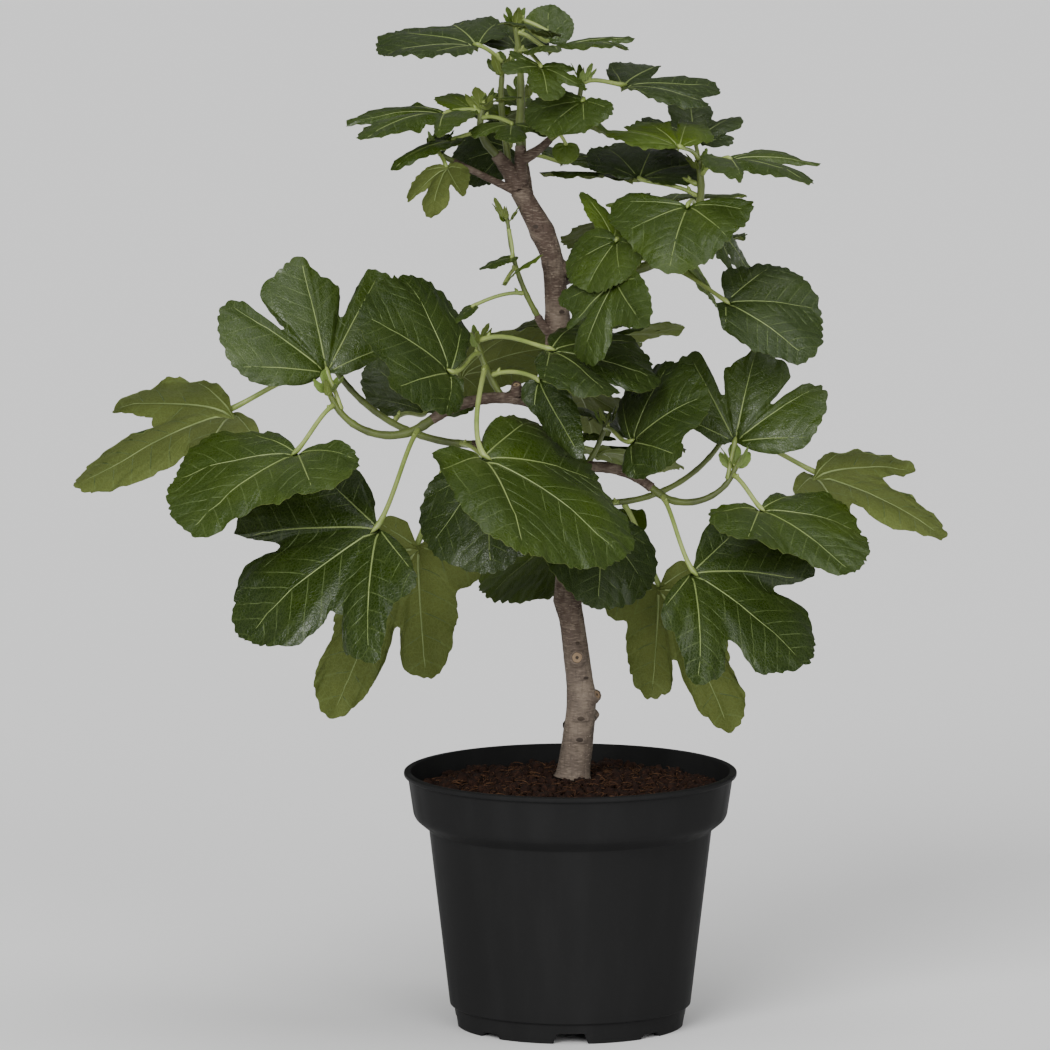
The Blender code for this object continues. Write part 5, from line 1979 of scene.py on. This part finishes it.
    def young_leaves(self, name: str) -> Iterator[tuple[list[Vector], Leaf]]:
        """Small upright leaves round the end bud of a stem.

        Args:
            name: The stem.

        Yields:
            The line of a short stalk and the leaf at its end.
        """
        end = self.growth.lines[name][0][-1]
        chance = random.Random("tip " + name)
        start = chance.uniform(0, 360)
        for index in range(self.tip_leaves):
            heading = start + index * TURN_BETWEEN_LEAVES
            foot = end - Vector((0, 0, 2.0 * index))
            line = [foot + way(heading, 35) * reach for reach in (0.0, 1.5, 3.0, 4.5)]
            length = chance.uniform(*self.tip_leaf_lengths)
            form = chance.choice(("narrow", "three_lobed"))
            rise = chance.uniform(48, 74)
            tone = chance.choice((Tone.YOUNG, Tone.LIME))
            yield line, Leaf(name, 1.0, tuple(line[-1]), heading, rise, 0.0, length, form, tone=tone)

    def meets(self, leaf: Leaf, rim: list[Vector], tree: BVHTree) -> bool:
        """Tell whether a leaf comes near the surfaces of a search tree.

        Args:
            leaf: The leaf.
            rim: Points of its margin.
            tree: Search tree of the surface.

        Returns:
            Whether it does.
        """
        heel = Vector(leaf.heel) * MM
        spots = [heel.lerp(point, share) for point in rim for share in (0.35, 0.7, 1.0)]
        return any(tree.find_nearest(spot, 4 * MM)[0] is not None for spot in spots)

    def build(self) -> list[bpy.types.Object]:
        """Make the pieces of the region.

        Returns:
            The blades, the veins and the shoots.
        """
        blades, veins, shoots = bmesh.new(), bmesh.new(), bmesh.new()
        blades.loops.layers.uv.new("veins")
        obstacles = list(self.growth.trees.values())
        for name in self.stems:
            self.shoot(shoots, name)
            for leaf in self.growth.leaves[name]:
                self.stalk(shoots, leaf)
                Blade(leaf).add_to(blades, veins)
            for line, leaf in (*self.twiglet_leaves(name, obstacles), *self.young_leaves(name)):
                width = 0.4 + 0.04 * leaf.length
                with new_faces(shoots, STALK):
                    tube(shoots, line, lambda v, out: width * (1 - 0.4 * v), self.twig_sides)
                Blade(leaf, rings=5, thickness=0.3).add_to(blades, veins)
        for shell in (veins, shoots):
            close(shell)
        blade_finishes = []
        for tone in TONES:
            name = tone.value
            rough = 0.32 if tone in (Tone.DARK, Tone.MID) else 0.42
            upper = BladeFinish("leaf_%s_upper" % name, *UPPER[tone], VEIN_TINT, rough)
            # The underside finish takes its colours with painted fill light in them.
            under = BladeFinish("leaf_%s_under" % name, *UNDER_WITH_PAINTED_FILL[tone], VEIN_TINT, 0.68, True)
            blade_finishes += [shared(upper), shared(under)]
        blade_piece = piece(self.region + "_blades", blades, blade_finishes, self.stems)
        blade_piece.data.set_sharp_from_angle(angle=math.radians(RIM_ANGLE))
        vein_finishes = [shared(MAIN_VEIN_FINISH), shared(SIDE_VEIN_FINISH)]
        shoot_finishes = [shared(GREEN_SHOOT_FINISH), shared(LEAF_STALK_FINISH)]
        return [
            blade_piece,
            piece(self.region + "_veins", veins, vein_finishes, self.stems),
            piece(self.region + "_shoots", shoots, shoot_finishes, self.stems),
        ]


def shared(finish: BladeFinish | SoftFinish) -> bpy.types.Material:
    """Material of a finish, made once for all pieces."""
    return bpy.data.materials.get(finish.name) or finish.material()


REGIONS = {
    "left": ("leaves_left", "leaves_left_low"),
    "right": ("leaves_right", "leaves_right_low", "leaves_right_centre"),
    "centre": ("leaves_centre", "leaves_small", "leaves_mid_right"),
    "upper": ("leaves_upper_right", "leaves_twig"),
    "top": ("leaves_top_left", "leaves_top_back", "leaves_top_middle", "leaves_top_right"),
    "rear": ("leaves_rear_low", "leaves_rear_middle", "leaves_rear_upper", "leaves_rear_top"),
}

# Pot, compost and studio


@dataclass
class Pot:
    """Round nursery pot: rolled lip, deep band, tapering wall and notched foot ring."""

    height: float = 216.0
    lip_radius: float = 140.0
    lip_depth: float = 4.0
    band_top: float = 136.6
    band_foot: float = 132.0
    band_foot_height: float = 176.0
    wall_top: float = 119.0
    wall_top_height: float = 167.0
    wall_foot: float = 101.4
    step_height: float = 18.0
    ring_radius: float = 98.0
    foot_radius: float = 95.5
    wall: float = 2.4
    floor_underside: float = 12.0
    centre_foot: float = 24.0
    steps: int = 160
    notches: int = 8
    deep: tuple[float, float] = (28.0, 9.0)
    shallow: tuple[float, float] = (20.0, 4.0)

    def profile(self) -> list[tuple[float, float, float]]:
        """Corners of the section from the axis below, out, up and in again, each with a fillet.

        Returns:
            Distance from the axis, height and fillet of each corner.
        """
        w = self.wall
        floor = self.floor_underside + w
        lip = self.height - self.lip_depth
        return [
            (0.0, 0.0, 0.0),
            (self.centre_foot - 2, 0.0, 0.8),
            (self.centre_foot, self.floor_underside, 1.0),
            (self.foot_radius - 2 * w, self.floor_underside, 1.0),
            (self.foot_radius - 2 * w, 0.0, 0.5),
            (self.foot_radius, 0.0, 0.7),
            (self.ring_radius, self.step_height - 1.5, 0.4),
            (self.wall_foot, self.step_height, 0.8),
            (self.wall_top, self.wall_top_height, 1.0),
            (self.wall_top + 3, self.wall_top_height + 2.5, 2.0),
            (self.band_foot - 2, self.band_foot_height, 2.5),
            (self.band_foot, self.band_foot_height + 4, 2.0),
            (self.band_top, lip - 1, 0.6),
            (self.lip_radius - 0.6, lip, 0.5),
            (self.lip_radius, lip + 1, 0.5),
            (self.lip_radius, self.height - 0.8, 0.7),
            (self.lip_radius - 1.2, self.height, 0.6),
            (self.band_top - w, self.height, 0.9),
            (self.band_foot - w, self.band_foot_height + 8, 2.0),
            (self.band_foot - w - 2.5, self.band_foot_height + 2.5, 2.0),
            (self.wall_top - w, self.wall_top_height + 1.5, 2.0),
            (self.wall_foot - w, floor + 6, 3.0),
            (self.wall_foot - w - 5, floor, 3.0),
            (0.0, floor, 0.0),
        ]

    def rounded(self) -> list[Vector]:
        """Points of the section with its corners rounded.

        Returns:
            The points, in millimetres.
        """
        corners = self.profile()
        line = [Vector(corners[0][:2])]
        for before, corner, after in zip(corners, corners[1:], corners[2:]):
            spot = Vector(corner[:2])
            back, ahead = Vector(before[:2]) - spot, Vector(after[:2]) - spot
            start = spot + back.normalized() * min(corner[2], back.length * 0.45)
            end = spot + ahead.normalized() * min(corner[2], ahead.length * 0.45)
            line += [start.lerp(spot, t).lerp(spot.lerp(end, t), t) for t in (0.0, 0.35, 0.65, 1.0)]
        line.append(Vector(corners[-1][:2]))
        return self.split_long(line)

    def split_long(self, line: list[Vector], longest: float = 14.0) -> list[Vector]:
        """Split the long straight stretches of a section.

        Args:
            line: Points of the section.
            longest: Longest stretch that is kept.

        Returns:
            The points, in millimetres.
        """
        points = [line[0]]
        for start, end in zip(line, line[1:]):
            count = max(1, math.ceil((end - start).length / longest))
            points += [start.lerp(end, k / count) for k in range(1, count + 1)]
        return points

    def notch(self, vert: bmesh.types.BMVert) -> None:
        """Raise a point of the foot ring where a notch goes through it.

        Args:
            vert: The point.
        """
        radius, height = math.hypot(vert.co.x, vert.co.y) / MM, vert.co.z / MM
        if radius < self.foot_radius - 2 * self.wall - 0.5 or height > self.step_height - 2:
            return
        step = 2 * math.pi / self.notches
        azimuth = math.atan2(vert.co.y, vert.co.x)
        index = round(azimuth / step)
        width, depth = self.shallow if index % 2 else self.deep
        off = abs(azimuth - index * step) * self.foot_radius
        rise = depth * soft_step((width / 2 - off) / 2.5 + 0.5)
        if height < rise:
            vert.co.z = rise * MM

    def build(self) -> bpy.types.Object:
        """Make the piece.

        Returns:
            The piece.
        """
        shell = bmesh.new()
        points = self.rounded()
        verts = [shell.verts.new((p.x * MM, 0.0, p.y * MM)) for p in points]
        edges = [shell.edges.new(pair) for pair in zip(verts, verts[1:])]
        bmesh.ops.spin(
            shell, geom=[*verts, *edges], cent=(0, 0, 0), axis=(0, 0, 1), angle=2 * math.pi,
            steps=self.steps, use_merge=True,
        )
        bmesh.ops.remove_doubles(shell, verts=shell.verts, dist=0.01 * MM)
        for vert in shell.verts:
            self.notch(vert)
        bmesh.ops.recalc_face_normals(shell, faces=shell.faces)
        item = piece("nursery_pot", shell, [PotFinish().material()], ["pot"])
        item.data.set_sharp_from_angle(angle=math.radians(38))
        return item


@dataclass
class Compost:
    """Coir compost: the solid's mound, dressed with crumbs and fibres."""

    seat_height: float = 208.7
    edge_height: float = 199.0
    seat_radius: float = 24.0
    reach: float = 131.0
    crumbs: int = 3200
    lumps: int = 900
    fibres: int = 1500
    trunk_clearance: float = 16.0
    mound_rise: float = 2.4
    mound_width: float = 16.0

    def height(self, radius: float) -> float:
        """Height of the mound at a distance from the axis.

        Args:
            radius: Distance from the axis.

        Returns:
            The height, in millimetres.
        """
        t = min(max((radius - self.seat_radius) / (self.reach - self.seat_radius), 0.0), 1.0)
        fall = (1 - math.cos(math.pi * t)) / 2
        return self.seat_height + (self.edge_height - self.seat_height) * fall

    def spot(self, chance: random.Random, margin_width: float) -> Vector:
        """Seeded place on the mound, clear of the trunk and of the wall.

        Args:
            chance: The seeded chance.
            margin_width: Distance to keep from the wall.

        Returns:
            The place, in millimetres.
        """
        while True:
            radius = (self.reach - margin_width) * math.sqrt(chance.random())
            turn = chance.uniform(0, 2 * math.pi)
            place = Vector((radius * math.cos(turn), radius * math.sin(turn), self.height(radius)))
            if (place.xy - Vector((2, 0))).length > self.trunk_clearance + margin_width * 0.5:
                return place

    def add_crumb(self, shell: bmesh.types.BMesh, chance: random.Random, low: float, high: float) -> None:
        """Add one crumb of a size between two radii.

        Args:
            shell: The mesh to add to.
            chance: The seeded chance.
            low: Least radius.
            high: Largest radius.
        """
        size = low + (high - low) * chance.random() ** 2
        place = self.spot(chance, size + 1)
        mound = self.mound_rise * noise.noise(
            Vector((place.x / self.mound_width, place.y / self.mound_width, 3))
        )
        place.z += chance.uniform(-0.3, 0.75) * size + max(mound, -1.0)
        made = bmesh.ops.create_icosphere(shell, subdivisions=1, radius=1.0)
        shape = Vector([chance.uniform(0.6, 1.3) for _ in range(3)])
        turn = Matrix.Rotation(chance.uniform(0, 6.28), 3, Vector((chance.random(), chance.random(), 0.3)))
        for vert in made["verts"]:
            jitter = 1 + chance.uniform(-0.28, 0.28)
            vert.co = (place + turn @ (vert.co * shape) * size * jitter) * MM

    def add_fibre(self, shell: bmesh.types.BMesh, chance: random.Random) -> None:
        """Add one curved fibre that lies on the crumbs.

        Args:
            shell: The mesh to add to.
            chance: The seeded chance.
        """
        start = self.spot(chance, 16)
        heading, bend = chance.uniform(0, 360), chance.uniform(-9, 9)
        rise = chance.uniform(-10, 38)
        length = chance.uniform(6, 17)
        points = [start + Vector((0, 0, chance.uniform(0.2, 2.6)))]
        for step in range(4):
            points.append(points[-1] + way(heading + bend * step * 2, rise - step * 16) * length / 4)
        width = chance.uniform(0.22, 0.5)
        tube(shell, points, lambda v, out: width, 3)

    def build(self) -> list[bpy.types.Object]:
        """Make the pieces and dress the mound.

        Returns:
            The crumbs and the fibres.
        """
        chance = random.Random("compost")
        crumb = CompostFinish("coir_crumb", (0.0140, 0.0048, 0.0022), (0.0380, 0.0145, 0.0070)).material()
        fibre = CompostFinish("coir_fibre", (0.075, 0.032, 0.014), (0.150, 0.075, 0.036)).material()
        mound = frame["nodes"]["soil"]
        mound.data.materials.clear()
        mound.data.materials.append(crumb)
        crumbs = bmesh.new()
        for _ in range(self.crumbs):
            self.add_crumb(crumbs, chance, 1.1, 3.0)
        for _ in range(self.lumps):
            self.add_crumb(crumbs, chance, 2.6, 5.8)
        fibres = bmesh.new()
        for _ in range(self.fibres):
            self.add_fibre(fibres, chance)
        close(fibres)
        return [
            piece("compost_crumbs", crumbs, [crumb]),
            piece("compost_fibres", fibres, [fibre]),
        ]


@dataclass(frozen=True)
class Light:
    """A broad distant light: where it shines from, its width in degrees and its strength."""

    name: str
    spot: tuple[float, float, float]
    width: float
    strength: float


LIGHTS = (
    Light("key", (-1.7, -3.9, 2.4), 32.0, 2.5),
    Light("fill", (1.5, -3.9, 1.5), 40.0, 1.3),
    Light("top", (0.8, -0.6, 4.2), 44.0, 1.2),
)


@dataclass
class Studio:
    """Pale floor, soft light and the camera at the photograph's angle."""

    pixel: float = 0.838
    frame_pixels: float = 1050.0
    axis_column: float = 570.5
    floor_row: float = 1026.0
    elevation: float = 8.4
    distance: float = 10.0
    sensor: float = 36.0
    ambient: float = 0.22

    def build_floor(self) -> None:
        """Lay the floor."""
        shell = bmesh.new()
        bmesh.ops.create_grid(shell, x_segments=8, y_segments=8, size=40.0)
        mesh = bpy.data.meshes.new("floor")
        shell.to_mesh(mesh)
        shell.free()
        floor = bpy.data.objects.new("floor", mesh)
        mesh.materials.append(FloorFinish().material())
        bpy.context.scene.collection.objects.link(floor)
        floor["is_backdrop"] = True

    def build_lights(self) -> None:
        """Place the world and three broad soft lights."""
        world = bpy.data.worlds.new("studio")
        world.use_nodes = True
        background = world.node_tree.nodes["Background"]
        background.inputs["Color"].default_value = (1.0, 1.0, 1.0, 1.0)
        background.inputs["Strength"].default_value = self.ambient
        bpy.context.scene.world = world
        for light in LIGHTS:
            data = bpy.data.lights.new(light.name, "SUN")
            data.angle = math.radians(light.width)
            data.energy = light.strength
            lamp = bpy.data.objects.new(light.name, data)
            lamp.rotation_euler = (-Vector(light.spot)).to_track_quat("-Z", "Y").to_euler()
            bpy.context.scene.collection.objects.link(lamp)

    def build_camera(self) -> None:
        """Stand the camera where the photograph was taken from."""
        rise = math.radians(self.elevation)
        half = self.frame_pixels / 2
        across = (half - self.axis_column) * self.pixel * MM
        up = (self.floor_row - half) * self.pixel * MM / math.cos(rise)
        data = bpy.data.cameras.new("camera")
        data.sensor_width = self.sensor
        data.lens = self.sensor * self.distance / (self.frame_pixels * self.pixel * MM)
        data.clip_end = 200.0
        camera = bpy.data.objects.new("camera", data)
        back = Vector((0, -math.cos(rise), math.sin(rise)))
        camera.location = Vector((across, 0, up)) + back * self.distance
        camera.rotation_euler = (math.pi / 2 - rise, 0, 0)
        bpy.context.scene.collection.objects.link(camera)
        bpy.context.scene.camera = camera

    def build(self) -> None:
        """Set up the whole studio."""
        self.build_floor()
        self.build_lights()
        self.build_camera()


def main() -> None:
    """Build the pot, the compost, the wood, the foliage and the studio."""
    logging.basicConfig(level=logging.INFO, format="%(name)s: %(message)s")
    solids_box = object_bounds()
    Studio().build()
    Pot().build()
    Compost().build()
    growth = Growth()
    Wood(growth).build()
    for region, stems in REGIONS.items():
        Foliage(growth, region, stems, twiglets=3 if region == "rear" else 0).build()
    boxes = {"cad": solids_box, "visual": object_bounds()}
    plain = {name: [list(corner) for corner in corners] for name, corners in boxes.items()}


if __name__ == "__main__":
    main()
